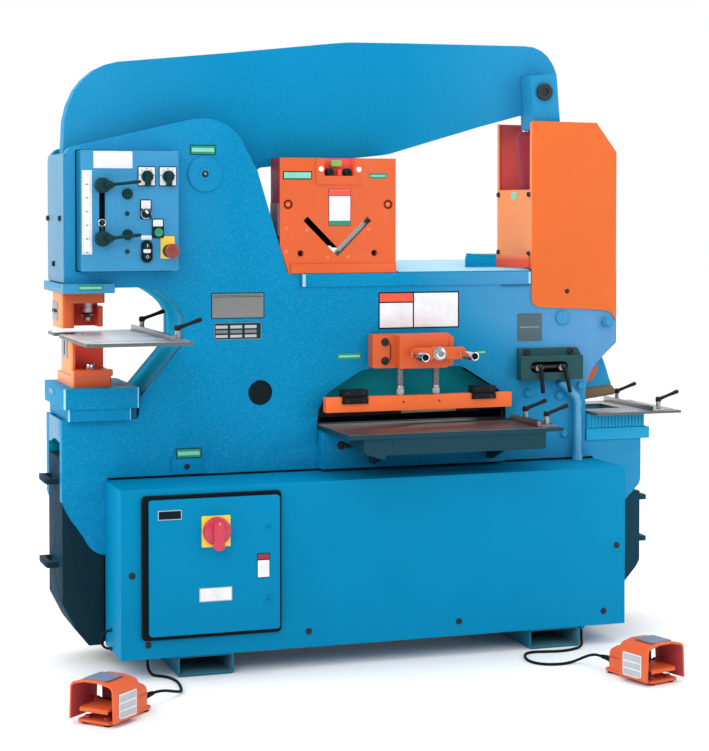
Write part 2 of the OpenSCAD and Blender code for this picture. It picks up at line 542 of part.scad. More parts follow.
// ---------------- foot switches ----------------
module at_foot(p,a) translate([p[0],p[1],0]) rotate([0,0,a]) children();
hood_o = concat([[-70,16],[70,16],[70,96]], [for(i=[1:5]) [70-14+14*cos(18*i), 96+14*sin(18*i)]], [[20,117],[-20,117]], [for(i=[0:5]) [-70+14-14*sin(18*i), 96+14*cos(18*i)]]);
hood_i = [[-65,10],[65,10],[65,98],[54,106],[18,112],[-18,112],[-54,106],[-65,98]];
module foot_switch() {
  difference() {
    union() {
      pyz(hood_o, 0, 118);
      pyz([[-45,14],[45,14],[45,66],[34,78],[-34,78],[-45,66]], 118, 190);
    }
    pyz(hood_i, -1, 112);
  }
  pxy(rr(8,112,-46,46,8), 6, 14);
  pxy(rr(112,204,-46,46,8), 6, 14);
  for (x=[20,190], y=[-34,34]) cz(x, y, 9, 0, 6);
  bx(97, 109, -66, -50, 18, 50);
  bx(97, 109, 50, 66, 18, 50);
}
module gland(s) translate([190, s*gland_off, gland_z]) rotate([0,90,0]) { cylinder(r=9, h=10); translate([0,0,10]) cylinder(r1=7.5, r2=5.5, h=gland_l-10); }
module foot_switch_housings() color([0.93,0.42,0.2]) home() {
  at_foot(foot_l, foot_l_a) { foot_switch(); gland(-1); }
  at_foot(foot_r, foot_r_a) { foot_switch(); gland(1); }
}
module treadle() {
  pxy(rr(12,101,-46,46,4), 38, 45);
  translate([103,-49,42]) rotate([-90,0,0]) cylinder(r=6, h=98);
}
module treadle_left() color([0.15,0.15,0.16]) home() at_foot(foot_l, foot_l_a) treadle();
module treadle_right() color([0.15,0.15,0.16]) home() at_foot(foot_r, foot_r_a) treadle();
function foot_pt(p,a,x,y,z) = [p[0]+x*cos(a)-y*sin(a), p[1]+x*sin(a)+y*cos(a), z];
module pedal_cord_left() color([0.04,0.04,0.04]) home() tube(concat(cord_left_pts, [foot_pt(foot_l,foot_l_a,190+gland_l,-gland_off,gland_z)]), cord_d/2);
module pedal_cord_right() color([0.04,0.04,0.04]) home() tube(concat(cord_right_pts, [foot_pt(foot_r,foot_r_a,190+gland_l,gland_off,gland_z)]), cord_d/2);

front_side_plate();
rear_side_plate();
frame_spacers();
frame_covers();
pivot_pins();
base_tank();
fork_tubes();
front_cabinet();
door_seal();
enclosure_door();
disconnect_handle();
electrical_panel();
power_unit();
control_box();
start_button();
on_button();
off_button();
estop_button();
mode_selector();
cam_switch_left();
cam_switch_right();
stroke_stop_upper();
stroke_stop_lower();
stripper_housing();
die_holder();
station_blocks();
gauge_tables();
punch_fence();
punch_lever_rear();
punch_lever_front();
punch_ram();
punch_beam();
beam_end_pin();
punch_cylinder_barrel();
punch_cylinder_rod();
rod_clevis();
shear_beam();
moving_blades();
shear_cylinder_rod();
fixed_blades();
angle_housing();
shear_table();
shear_fence();
shear_lever_rear();
shear_lever_front();
holddown_housing();
holddown_bar();
holddown_crank();
cylinder_guard();
lever_block();
block_levers();
notcher_fence();
notcher_lever_rear();
notcher_lever_front();
frame_fasteners();
foot_switch_housings();
treadle_left();
treadle_right();
pedal_cord_left();
pedal_cord_right();
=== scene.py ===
import bpy, bmesh, math, json
from mathutils import Vector, Matrix


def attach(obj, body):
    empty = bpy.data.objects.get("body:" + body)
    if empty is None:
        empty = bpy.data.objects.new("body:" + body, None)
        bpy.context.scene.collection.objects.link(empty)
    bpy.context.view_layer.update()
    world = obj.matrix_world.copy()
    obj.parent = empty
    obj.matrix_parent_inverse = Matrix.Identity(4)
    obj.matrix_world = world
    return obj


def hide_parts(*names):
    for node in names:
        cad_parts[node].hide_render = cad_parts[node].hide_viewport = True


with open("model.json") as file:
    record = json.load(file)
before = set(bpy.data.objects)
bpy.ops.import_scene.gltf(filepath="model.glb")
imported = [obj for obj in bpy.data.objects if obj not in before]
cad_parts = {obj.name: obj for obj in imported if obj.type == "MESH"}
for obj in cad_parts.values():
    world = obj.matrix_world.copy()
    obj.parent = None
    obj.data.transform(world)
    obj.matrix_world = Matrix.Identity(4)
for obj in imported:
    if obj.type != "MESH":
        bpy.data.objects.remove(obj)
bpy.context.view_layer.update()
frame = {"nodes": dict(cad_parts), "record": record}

NODE = frame["nodes"]
OX, OY = 49.401, -132.059           # shift from machine millimetres to the row frame


def W(x, y, z):
    return Vector(((x - OX) / 1000.0, (y - OY) / 1000.0, z / 1000.0))


# ------------------------------------------------------------------ camera
scene = bpy.context.scene
scene.view_settings.view_transform = "Standard"
scene.view_settings.look = "None"
YAW, PITCH = math.radians(18.65), math.radians(1.8)
cam_data = bpy.data.cameras.new("camera")
cam = bpy.data.objects.new("camera", cam_data)
scene.collection.objects.link(cam)
cam.location = W(-1842, -5457, 1322)
look = Vector((math.sin(YAW) * math.cos(PITCH), math.cos(YAW) * math.cos(PITCH), -math.sin(PITCH)))
cam.rotation_mode = "QUATERNION"
cam.rotation_quaternion = look.to_track_quat("-Z", "Y")
cam_data.sensor_width = 36.0
cam_data.sensor_fit = "AUTO"
cam_data.lens = 1920.0 / 751.0 * 36.0
cam_data.shift_y = -(167.5 - 1920.0 * math.tan(PITCH)) / 751.0
cam_data.clip_start, cam_data.clip_end = 0.05, 100
scene.camera = cam


# ------------------------------------------------------------------ materials
def lin(r, g, b):
    def f(c):
        c /= 255.0
        return c / 12.92 if c <= 0.04045 else ((c + 0.055) / 1.055) ** 2.4
    return (f(r), f(g), f(b), 1.0)


class Mat:
    """A principled material with a small kit of procedural detail in object coordinates (metres)."""

    def __init__(self, name):
        self.m = bpy.data.materials.new(name)
        self.m.use_nodes = True
        self.t = self.m.node_tree
        self.b = self.t.nodes["Principled BSDF"]
        self.tc = self.t.nodes.new("ShaderNodeTexCoord")

    def coords(self, stretch=None):
        if stretch is None:
            return self.tc.outputs["Object"]
        mp = self.t.nodes.new("ShaderNodeMapping")
        mp.inputs["Scale"].default_value = stretch
        self.t.links.new(self.tc.outputs["Object"], mp.inputs["Vector"])
        return mp.outputs["Vector"]

    def axes(self):
        n = self.t.nodes.new("ShaderNodeSeparateXYZ")
        self.t.links.new(self.tc.outputs["Object"], n.inputs[0])
        return n.outputs[0], n.outputs[1], n.outputs[2]

    def math(self, op, a, b):
        n = self.t.nodes.new("ShaderNodeMath")
        n.operation = op
        for k, v in enumerate((a, b)):
            if isinstance(v, float):
                n.inputs[k].default_value = v
            else:
                self.t.links.new(v, n.inputs[k])
        return n.outputs[0]

    def noise(self, scale, detail=3.0, rough=0.55, stretch=None):
        n = self.t.nodes.new("ShaderNodeTexNoise")
        n.inputs["Scale"].default_value = scale
        n.inputs["Detail"].default_value = detail
        n.inputs["Roughness"].default_value = rough
        self.t.links.new(self.coords(stretch), n.inputs["Vector"])
        return n.outputs["Fac"]

    def span(self, value, a, b, lo, hi):
        r = self.t.nodes.new("ShaderNodeMapRange")
        r.inputs["From Min"].default_value = a
        r.inputs["From Max"].default_value = b
        r.inputs["To Min"].default_value = lo
        r.inputs["To Max"].default_value = hi
        self.t.links.new(value, r.inputs["Value"])
        return r.outputs["Result"]

    def mix(self, fac, a, b):
        n = self.t.nodes.new("ShaderNodeMix")
        n.data_type = "RGBA"
        self.t.links.new(fac, n.inputs["Factor"])
        for v, s in ((a, "A"), (b, "B")):
            sock = [i for i in n.inputs if i.name == s and i.type == "RGBA"][0]
            if isinstance(v, tuple):
                sock.default_value = v
            else:
                self.t.links.new(v, sock)
        return [o for o in n.outputs if o.type == "RGBA"][0]

    def colour(self, c):
        if isinstance(c, tuple):
            self.b.inputs["Base Color"].default_value = c
        else:
            self.t.links.new(c, self.b.inputs["Base Color"])

    def rough(self, r):
        if isinstance(r, float):
            self.b.inputs["Roughness"].default_value = r
        else:
            self.t.links.new(r, self.b.inputs["Roughness"])

    def bump(self, height, strength, distance):
        n = self.t.nodes.new("ShaderNodeBump")
        n.inputs["Strength"].default_value = strength
        n.inputs["Distance"].default_value = distance
        self.t.links.new(height, n.inputs["Height"])
        self.t.links.new(n.outputs["Normal"], self.b.inputs["Normal"])

    def set(self, **kw):
        names = {"metal": "Metallic", "coat": "Coat Weight", "coat_rough": "Coat Roughness", "ior": "IOR", "spec": "Specular IOR Level", "sheen": "Sheen Weight"}
        for k, v in kw.items():
            self.b.inputs[names[k]].default_value = v
        return self


def mul(c, k):
    return (min(1, c[0] * k), min(1, c[1] * k), min(1, c[2] * k), 1.0)


def paint(name, c, light=1.3, dark=0.9, peel=240, depth=0.00035, speck=0.3, r0=0.4, r1=0.56, coat=0.0, spec=0.3, painted_sheen=None, low=None, side=None, upper=None):
    """Sprayed machine paint: slow mottling, pale speckle in two sizes, an orange-peel surface and a few rubbed spots;
    optional colour bands by position give painted sheen, painted highlight and painted shade.
    """
    m = Mat(name)
    slow = m.span(m.noise(2.6, 2), 0.3, 0.7, 0, 1)
    base = m.mix(slow, mul(c, dark), c)
    # painted sheen: lighter bands towards the right and over the upper left of the piece (object x and z) stand in for
    # light glancing off the gloss
    if painted_sheen:
        x, y, z = m.axes()
        right = m.span(x, 0.15, 0.75, 0, 0.85)
        left = m.math("MULTIPLY", m.span(x, -0.42, -0.78, 0, 0.8), m.math("MULTIPLY", m.span(z, 1.0, 1.25, 0, 1), m.span(z, 1.42, 1.6, 1, 0.45)))
        cloud = m.span(m.noise(5, 3), 0.35, 0.65, 0.7, 1.0)
        base = m.mix(m.math("MULTIPLY", m.math("MAXIMUM", right, left), cloud), base, painted_sheen)
    # painted sheen: a pale blue-purple patch across the upper right of the piece
    if upper:
        x, y, z = m.axes()
        rise = m.span(m.math("ADD", m.math("MULTIPLY", x, 0.5), z), 1.08, 1.2, 0, 1)
        base = m.mix(m.math("MULTIPLY", m.math("MULTIPLY", m.span(x, 0.1, 0.8, 0, 0.64), rise), m.span(z, 1.12, 1.2, 1, 0)), base, upper)
    # a second colour below a height band, used by the materials below for painted shade and to end a painted highlight
    if low:
        z = m.axes()[2]
        base = m.mix(m.span(z, low[1], low[2], 1, 0), base, low[0])
    # a second colour past a band in x, used by the materials below for painted light and painted shade
    if side:
        base = m.mix(m.span(m.axes()[0], side[1], side[2], 0, 1), base, side[0])
    fleck = m.span(m.noise(230, 2, 0.6), 0.52, 0.7, 0, speck)
    base = m.mix(fleck, base, mul(c, light) if not painted_sheen else mul(painted_sheen, 1.06))
    fine = m.span(m.noise(520, 2, 0.6), 0.5, 0.7, 0, speck * 0.7)
    base = m.mix(fine, base, mul(c, light))
    grime = m.span(m.noise(14, 5, 0.65), 0.6, 0.8, 0, 0.1)
    m.colour(m.mix(grime, base, mul(c, 0.66)))
    m.rough(m.span(m.noise(55, 4), 0.3, 0.7, r0, r1))
    m.bump(m.noise(peel, 2, 0.5), 0.5, depth)
    return m.set(coat=coat, coat_rough=0.2, spec=spec).m


def metal(name, c, stretch=(1, 1, 1), scale=60, r0=0.22, r1=0.42, depth=0.0001, tint=0.8, metallic=1.0, side=None):
    """Worked steel: streaks along one direction, stains and fine scratches."""
    m = Mat(name)
    grain = m.noise(scale, 6, 0.7, stretch)
    stain = m.span(m.noise(9, 4), 0.35, 0.7, 0, 1)
    base = m.mix(m.span(grain, 0.3, 0.7, 0, 1), mul(c, tint), c)
    if side:
        base = m.mix(m.span(m.axes()[0], side[1], side[2], 0, 1), base, side[0])
    m.colour(m.mix(stain, base, mul(c, 0.82)))
    m.rough(m.span(grain, 0.3, 0.7, r0, r1))
    m.bump(grain, 0.4, depth)
    return m.set(metal=metallic).m


def plastic(name, c, r0=0.35, r1=0.5, depth=0.00012, scale=600, coat=0.0, spec=0.5):
    m = Mat(name)
    slow = m.span(m.noise(25, 3), 0.3, 0.7, 0, 1)
    m.colour(m.mix(slow, mul(c, 0.85), c))
    m.rough(m.span(m.noise(40, 3), 0.3, 0.7, r0, r1))
    m.bump(m.noise(scale, 2), 0.4, depth)
    return m.set(coat=coat, coat_rough=0.1, spec=spec).m


# Frame blue: the lighter bands and the pale patch on the upper right are painted sheen
BLUE = paint("blue_paint", lin(0, 128, 175), painted_sheen=lin(52, 142, 189), spec=0.05, upper=lin(112, 150, 196), speck=0.52)
# Sheet blue with a faint band of painted sheen
BLUE_PLAIN = paint("blue_paint_sheet", lin(0, 126, 171), painted_sheen=lin(4, 131, 178), speck=0.1, spec=0.05)
# Conduit blue: a real gloss coat over a base painted lighter as painted sheen
BLUE_GLOSS_SHEEN = paint("blue_paint_pipe_sheen", lin(52, 148, 194), speck=0.06, r0=0.14, r1=0.24, coat=0.6, spec=0.5)
# painted highlight: the throat wall's upper left is a much brighter blue standing in for light on it; below z 0.70 m
# and right of x -0.26 m it is plain blue
THROAT_HIGHLIGHT = paint("blue_paint_throat_highlight", lin(44, 200, 246), speck=0.14, spec=0.0, low=(lin(0, 124, 170), 0.70, 0.74), side=(lin(0, 124, 170), -0.36, -0.26))
NOTCH_BLUE = paint("notch_block_paint", lin(8, 160, 206), speck=0.2, spec=0.25)
# painted sheen: a lighter, greyer copy of the frame blue for the covers, control box, pivot caps and rims
BLUE_SHEEN = paint("blue_paint_sheen", lin(56, 138, 184), spec=0.15)
# Darker blue for a few small parts, and painted shade on the control box's left face, in the die block gap and at the
# front pad's left end
BLUE_DEEP_AND_SHADE = paint("blue_paint_deep_and_shade", lin(0, 96, 132), speck=0.08, spec=0.12)
# painted light: the faces that look left at the end of the frame are painted a lighter, greyer blue
BLUE_LIT_END = paint("blue_paint_lit_end", lin(95, 142, 172), speck=0.3, spec=0.15)
# painted highlight: pale blue for the lit top faces of the covers, the highlights on the die block's edges and the
# strips on the ends of the front pad
BLUE_TOP_HIGHLIGHT = paint("blue_paint_top_highlight", lin(150, 204, 228), speck=0.05, spec=0.3)
TEAL = paint("teal_paint", lin(10, 98, 126), speck=0.08, spec=0.2)
# painted shade: the shear beam's face inside the mouth is a shaded teal in place of the frame blue, turning blue at its
# right end
BEAM_SHADE_TEAL = paint("beam_face_shade_paint", lin(16, 152, 168), speck=0.05, spec=0.05, side=(lin(40, 140, 186), 0.64, 0.7))
# painted light: the inside faces of the fork tubes are painted lighter than their outside to lift the shade in them
TUBE_INSIDE_LIGHT = paint("tube_inside_painted_light", lin(74, 122, 138), speck=0.05, spec=0.05)
# painted shade: a dark teal-grey copy of the table steel for the shear table's sides and underside and its bracket
TABLE_UNDER_SHADE = paint("table_underside_shade", lin(19, 61, 74), light=1.3, peel=500, depth=0.00015, speck=0.12, r0=0.45, r1=0.6, spec=0.12)
# painted light: the tank is painted lighter towards its right end
TANK = paint("tank_paint", lin(16, 45, 55), light=1.2, speck=0.04, r0=0.45, r1=0.6, spec=0.05, side=(lin(24, 64, 80), 0.5, 0.72))
# painted light: a lighter, bluer copy for the tank's lit left face
TANK_LIT_SIDE = paint("tank_lit_side_paint", lin(18, 50, 68), light=1.2, speck=0.05, r0=0.5, r1=0.65, spec=0.02)
# painted shade: the rear plate's inside face is near black, turning to a shaded teal at the left end
INNER_SHADE = paint("plate_inside_shade", lin(8, 128, 148), speck=0.05, spec=0.02, side=(lin(8, 22, 28), -0.62, -0.48))
ORANGE = paint("orange_paint", lin(212, 90, 40), light=1.1, peel=320, depth=0.00012, speck=0.06, r0=0.34, r1=0.46, coat=0.1)
ORANGE_SHEET = paint("orange_sheet_paint", lin(219, 100, 33), light=1.06, peel=320, depth=0.0001, speck=0.06, r0=0.4, r1=0.5)
# painted light and shade: pale lit orange for the guard's left cover, with painted shade in red along its bottom
ORANGE_LIT_COVER = paint("orange_cover_lit_and_shade", lin(242, 138, 72), light=1.04, peel=320, depth=0.0001, speck=0.06, r0=0.36, r1=0.46, low=(lin(226, 84, 56), 1.138, 1.162))
ORANGE_BAR = paint("orange_bar_paint", lin(255, 116, 50), light=1.04, peel=320, depth=0.00012, speck=0.06, r0=0.34, r1=0.46, coat=0.1)
ORANGE_SIDE = paint("orange_lit_paint", lin(240, 144, 88), light=1.05, peel=320, depth=0.00012, speck=0.08, r0=0.36, r1=0.46)
# painted light and shade: pale lit orange for the guard foot sheet, with painted shade in red along its bottom
ORANGE_FOOT_LIT_SHADE = paint("guard_foot_lit_and_shade", lin(222, 134, 88), light=1.04, peel=320, depth=0.0001, speck=0.06, r0=0.36, r1=0.46, low=(lin(204, 74, 54), 1.160, 1.186))
# painted shade: dark red for the rings round the housing knobs
RED_RECESS_SHADE = paint("red_recess_shade", lin(96, 30, 26), light=1.1, peel=320, depth=0.0001, speck=0.05, spec=0.15)
# Red for label bands and small red parts, and painted shade: the insides of the stripper housing, the die holder recess
# and the angle housing window are painted red for shaded orange
RED_AND_INSIDE_SHADE = paint("red_parts_and_inside_shade", lin(242, 86, 70), light=1.1, peel=320, depth=0.0001, speck=0.05, spec=0.15)
RED_SHADE = paint("red_shade_paint", lin(255, 108, 104), light=1.0, peel=320, depth=0.0001, speck=0.05, spec=0.15)
RED_DARK = paint("red_dark_paint", lin(150, 50, 66), light=1.1, peel=320, depth=0.0001, speck=0.05, spec=0.15)
# Dark red for the hood's seam lines and blocks, and painted shade on the hood's inward- and downward-facing faces
MAROON = paint("hood_inside_shade_and_seams", lin(186, 74, 80), light=1.1, peel=320, depth=0.0001, speck=0.08, spec=0.15)
# painted shade and reflection: the punch cylinder barrel inside the guard is dark red-purple for its shade and the red
# it reflects
CYLINDER_SHADE = paint("cylinder_shade_and_red_reflection", lin(146, 36, 52), light=1.1, peel=320, depth=0.0001, speck=0.04, spec=0.2)
GREEN_GREY = paint("lever_block_finish", lin(36, 76, 80), light=1.3, peel=500, depth=0.00015, speck=0.14, r0=0.45, r1=0.6, spec=0.12)
# Near-black for small dark parts, rims and pipes, and painted shade in the gap round the control box
EDGE_DARK = paint("dark_finish_and_shade", lin(10, 26, 32), light=1.4, peel=400, depth=0.0001, speck=0.06, r0=0.55, r1=0.7, spec=0.1)
# painted shade: near-black for the inside of slots
SLOT_SHADE = plastic("slot_painted_shade", lin(10, 8, 10), r0=0.8, r1=0.95, depth=0.00002, spec=0.02)
SLATE = plastic("slate_pad", lin(104, 116, 138), r0=0.45, r1=0.6, depth=0.0002, scale=900)
PINK = plastic("filled_hole", lin(236, 110, 84), r0=0.5, r1=0.6, depth=0.00004)
TICK = plastic("scale_tick", lin(96, 104, 120), r0=0.5, r1=0.6, depth=0.00002)
STEEL = metal("ground_steel", lin(170, 170, 172), stretch=(0.25, 3, 3), scale=90)
STEEL_MID = metal("thread_steel", lin(150, 152, 158), scale=140, r0=0.2, r1=0.36, metallic=0.7)
# Table steel with a painted reflection: tinted reddish brown for the orange parts its top reflects
TABLE_STEEL_REFLECT = metal("table_steel_orange_reflection", lin(136, 121, 119), stretch=(0.2, 3, 3), scale=70, r0=0.3, r1=0.5)
# Dark blade steel, painted darker still as shade
BLADE = metal("blade_steel_and_shade", lin(26, 32, 34), stretch=(0.2, 3, 3), scale=70, r0=0.5, r1=0.65, metallic=0.3)
HOUSING_PLATE = metal("housing_side_plate", lin(168, 132, 140), scale=90, r0=0.4, r1=0.55, metallic=0.3)
# painted highlight: a cream strip for light caught on the blade's edge
BLADE_HIGHLIGHT = metal("blade_painted_highlight", lin(170, 168, 150), stretch=(0.2, 3, 3), scale=70, r0=0.25, r1=0.4)
ALLOY = metal("table_alloy", lin(206, 208, 211), stretch=(3, 0.3, 3), scale=90, r0=0.3, r1=0.45, metallic=0.45)
TOOL = metal("tool_steel", lin(124, 106, 78), stretch=(0.3, 3, 3), scale=60, r0=0.35, r1=0.5, metallic=0.5, tint=0.55)
# painted shade: the part of the gauge table inside the throat is painted a darker blue-grey
TABLE_TOP = metal("gauge_table_top", lin(234, 236, 238), stretch=(3, 0.3, 3), scale=90, r0=0.3, r1=0.45, metallic=0.45, tint=0.92, side=(lin(132, 148, 160), -0.80, -0.70))
NOTCH_TOP = metal("notch_table_top", lin(150, 152, 156), stretch=(3, 0.3, 3), scale=90, r0=0.3, r1=0.45, metallic=0.45, tint=0.7)
TABLE_EDGE = metal("table_edge", lin(92, 102, 100), stretch=(0.3, 3, 3), scale=90, r0=0.35, r1=0.5, metallic=0.4)
SLOT_EDGE = metal("slot_wall", lin(84, 74, 70), scale=90, r0=0.4, r1=0.55, metallic=0.4)
CHROME = metal("chrome", lin(222, 224, 228), scale=120, r0=0.05, r1=0.12, depth=0.00002, tint=0.95)
BOLT = metal("black_oxide", lin(22, 30, 34), scale=200, r0=0.4, r1=0.55, metallic=0.2)
BLACK = plastic("black_plastic", lin(10, 14, 16), spec=0.2)
BLACK_GREEN = plastic("dark_knob_plastic", lin(4, 48, 52), r0=0.34, r1=0.5, spec=0.14)
WHITE = plastic("white_plastic", lin(232, 232, 230), r0=0.3, r1=0.4, depth=0.00004)
LEGEND = plastic("legend_white", lin(226, 228, 234), r0=0.4, r1=0.5, depth=0.00002)
LEGEND_GREY = plastic("legend_grey", lin(176, 178, 184), r0=0.4, r1=0.5, depth=0.00002)
PLATE_GREY = metal("blank_data_plate", lin(138, 140, 140), stretch=(0.3, 1, 3), scale=300, r0=0.4, r1=0.55, depth=0.00002)
PLATE_DARK = plastic("blank_icon_plate", lin(62, 88, 96), r0=0.4, r1=0.55, depth=0.00004)
PALE_GREEN = plastic("pale_green_tag", lin(120, 206, 184), r0=0.4, r1=0.5, depth=0.00002)
GREEN = plastic("green_lens", lin(10, 142, 96), r0=0.15, r1=0.25, depth=0.00003, coat=0.3)
GREEN_TAG = plastic("green_tag", lin(10, 136, 98), r0=0.4, r1=0.5, depth=0.00002)
GREEN_PART = plastic("green_stop_piece", lin(120, 170, 84), r0=0.35, r1=0.5, depth=0.00006)
RED = plastic("red_plastic", lin(196, 40, 72), r0=0.25, r1=0.36, depth=0.00003, coat=0.2)
RED_BRICK = plastic("red_mushroom", lin(130, 46, 28), r0=0.28, r1=0.4, depth=0.00003, coat=0.2)
YELLOW = plastic("yellow_plate", lin(246, 202, 62), r0=0.35, r1=0.45, depth=0.00002)
RUBBER = plastic("black_rubber", lin(8, 13, 17), r0=0.55, r1=0.72, depth=0.00015, scale=900, spec=0.12)
PANEL = paint("panel_grey", lin(196, 198, 198), light=1.05, speck=0.05)


# ------------------------------------------------------------------ mesh kit
def finish_mesh(me, angle=32):
    me.polygons.foreach_set("use_smooth", [True] * len(me.polygons))
    me.set_sharp_from_angle(angle=math.radians(angle))
    me.update()


def rr(x0, x1, z0, z1, r, n=5):
    out = []
    for cx, cz, a0 in ((x1 - r, z1 - r, 0), (x0 + r, z1 - r, 90), (x0 + r, z0 + r, 180), (x1 - r, z0 + r, 270)):
        for i in range(n + 1):
            a = math.radians(a0 + 90.0 * i / n)
            out.append((cx + r * math.cos(a), cz + r * math.sin(a)))
    return out


class Part:
    """One piece, built from shapes given in machine millimetres."""

    def __init__(self, name):
        self.name, self.bm, self.mats = name, bmesh.new(), []

    def _index(self, mat):
        if mat not in self.mats:
            self.mats.append(mat)
        return self.mats.index(mat)

    def _take(self, bm, mat, place=None, rules=()):
        k = self._index(mat)
        bm.normal_update()
        for f in bm.faces:
            f.material_index = k
            for test, other in rules:
                if test(f.calc_center_median(), f.normal):
                    f.material_index = self._index(other)
        if place is not None:
            bmesh.ops.transform(bm, matrix=place, verts=bm.verts)
        me = bpy.data.meshes.new("tmp")
        bm.to_mesh(me)
        bm.free()
        self.bm.from_mesh(me)
        bpy.data.meshes.remove(me)
        return self

    def _bevel(self, bm, bev, seg):
        if bev > 0:
            es = [e for e in bm.edges if len(e.link_faces) == 2 and e.calc_face_angle() > math.radians(32)]
            bmesh.ops.bevel(bm, geom=es, offset=bev, segments=seg, profile=0.65, affect="EDGES", clamp_overlap=True)

    def loft(self, rings, mat, bev=0.0, seg=2, place=None, rules=()):
        """Closed rings of equal point count, capped at both ends."""
        bm = bmesh.new()
        vs = [[bm.verts.new(p) for p in ring] for ring in rings]
        n = len(rings[0])
        for a, b in zip(vs, vs[1:]):
            for i in range(n):
                bm.faces.new((a[i], a[(i + 1) % n], b[(i + 1) % n], b[i]))
        bm.faces.new(vs[0])
        bm.faces.new(vs[-1])
        bmesh.ops.recalc_face_normals(bm, faces=bm.faces)
        self._bevel(bm, bev, seg)
        return self._take(bm, mat, place, rules)

    def prism(self, pts, lo, hi, axis, mat, bev=0.8, seg=2, place=None, rules=()):
        """pts are (x,z) for axis y, (y,z) for axis x and (x,y) for axis z."""
        def put(p, h):
            return {"y": (p[0], h, p[1]), "x": (h, p[0], p[1]), "z": (p[0], p[1], h)}[axis]
        return self.loft([[put(p, lo) for p in pts], [put(p, hi) for p in pts]], mat, bev, seg, place, rules)

    def box(self, x0, x1, y0, y1, z0, z1, mat, bev=0.8, seg=2, place=None):
        return self.prism([(x0, z0), (x1, z0), (x1, z1), (x0, z1)], y0, y1, "y", mat, bev, seg, place)

    def hoop(self, outer, inner, lo, hi, axis, mat, bev=0.5, seg=2, place=None):
        """A flat ring between two loops of equal point count."""
        def put(p, h):
            return {"y": (p[0], h, p[1]), "x": (h, p[0], p[1]), "z": (p[0], p[1], h)}[axis]
        bm = bmesh.new()
        n = len(outer)
        q = [[bm.verts.new(put(p, h)) for p in loop] for loop, h in ((outer, lo), (outer, hi), (inner, hi), (inner, lo))]
        for k in range(4):
            a, b = q[k], q[(k + 1) % 4]
            for i in range(n):
                bm.faces.new((a[i], a[(i + 1) % n], b[(i + 1) % n], b[i]))
        bmesh.ops.recalc_face_normals(bm, faces=bm.faces)
        self._bevel(bm, bev, seg)
        return self._take(bm, mat, place)

    def lathe(self, at, d, prof, mat, seg=32, place=None):
        """prof is (radius, distance along d) from one end to the other."""
        d = Vector(d).normalized()
        u = d.orthogonal().normalized()
        v = d.cross(u)
        at = Vector(at)
        bm = bmesh.new()
        rings = []
        for r, h in prof:
            c = at + d * h
            if r < 1e-6:
                rings.append([bm.verts.new(c)])
            else:
                rings.append([bm.verts.new(c + u * (r * math.cos(2 * math.pi * i / seg)) + v * (r * math.sin(2 * math.pi * i / seg))) for i in range(seg)])
        for p, q in zip(rings, rings[1:]):
            for i in range(seg):
                j = (i + 1) % seg
                if len(p) == 1 and len(q) == 1:
                    continue
                if len(p) == 1:
                    bm.faces.new((p[0], q[j], q[i]))
                elif len(q) == 1:
                    bm.faces.new((p[i], p[j], q[0]))
                else:
                    bm.faces.new((p[i], p[j], q[j], q[i]))
        if prof[0] != prof[-1]:
            for ring in (rings[0], rings[-1]):
                if len(ring) > 1:
                    bm.faces.new(ring)
        bmesh.ops.remove_doubles(bm, verts=bm.verts, dist=1e-5)
        bmesh.ops.recalc_face_normals(bm, faces=bm.faces)
        return self._take(bm, mat, place)

    def torus(self, at, d, big, small, mat, seg=36, n=10, place=None):
        prof = [(big + small * math.cos(2 * math.pi * k / n), small * math.sin(2 * math.pi * k / n)) for k in range(n)]
        return self.lathe(at, d, prof + prof[:1], mat, seg, place)

    def sweep(self, pts, radii, mat, seg=14, place=None):
        pts = [Vector(p) for p in pts]
        if not isinstance(radii, (list, tuple)):
            radii = [radii] * len(pts)
        rings, u = [], None
        for i, p in enumerate(pts):
            d = (pts[min(i + 1, len(pts) - 1)] - pts[max(i - 1, 0)]).normalized()
            u = d.orthogonal().normalized() if u is None else (u - d * u.dot(d)).normalized()
            v = d.cross(u)
            rings.append([p + (u * math.cos(2 * math.pi * k / seg) + v * math.sin(2 * math.pi * k / seg)) * radii[i] for k in range(seg)])
        return self.loft(rings, mat, 0.0, 2, place)

    def done(self, body, *stands_for, angle=32, slot=None):
        me = bpy.data.meshes.new(self.name)
        for v in self.bm.verts:
            v.co = W(*v.co)
        self.bm.to_mesh(me)
        self.bm.free()
        for m in self.mats:
            me.materials.append(m)
        finish_mesh(me, angle)
        o = bpy.data.objects.new(self.name, me)
        scene.collection.objects.link(o)
        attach(o, body)
        if stands_for:
            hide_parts(*stands_for)
        return o


BODY = {n: b for b, ns in frame["record"]["behaviour"]["bodies"].items() for n in ns}


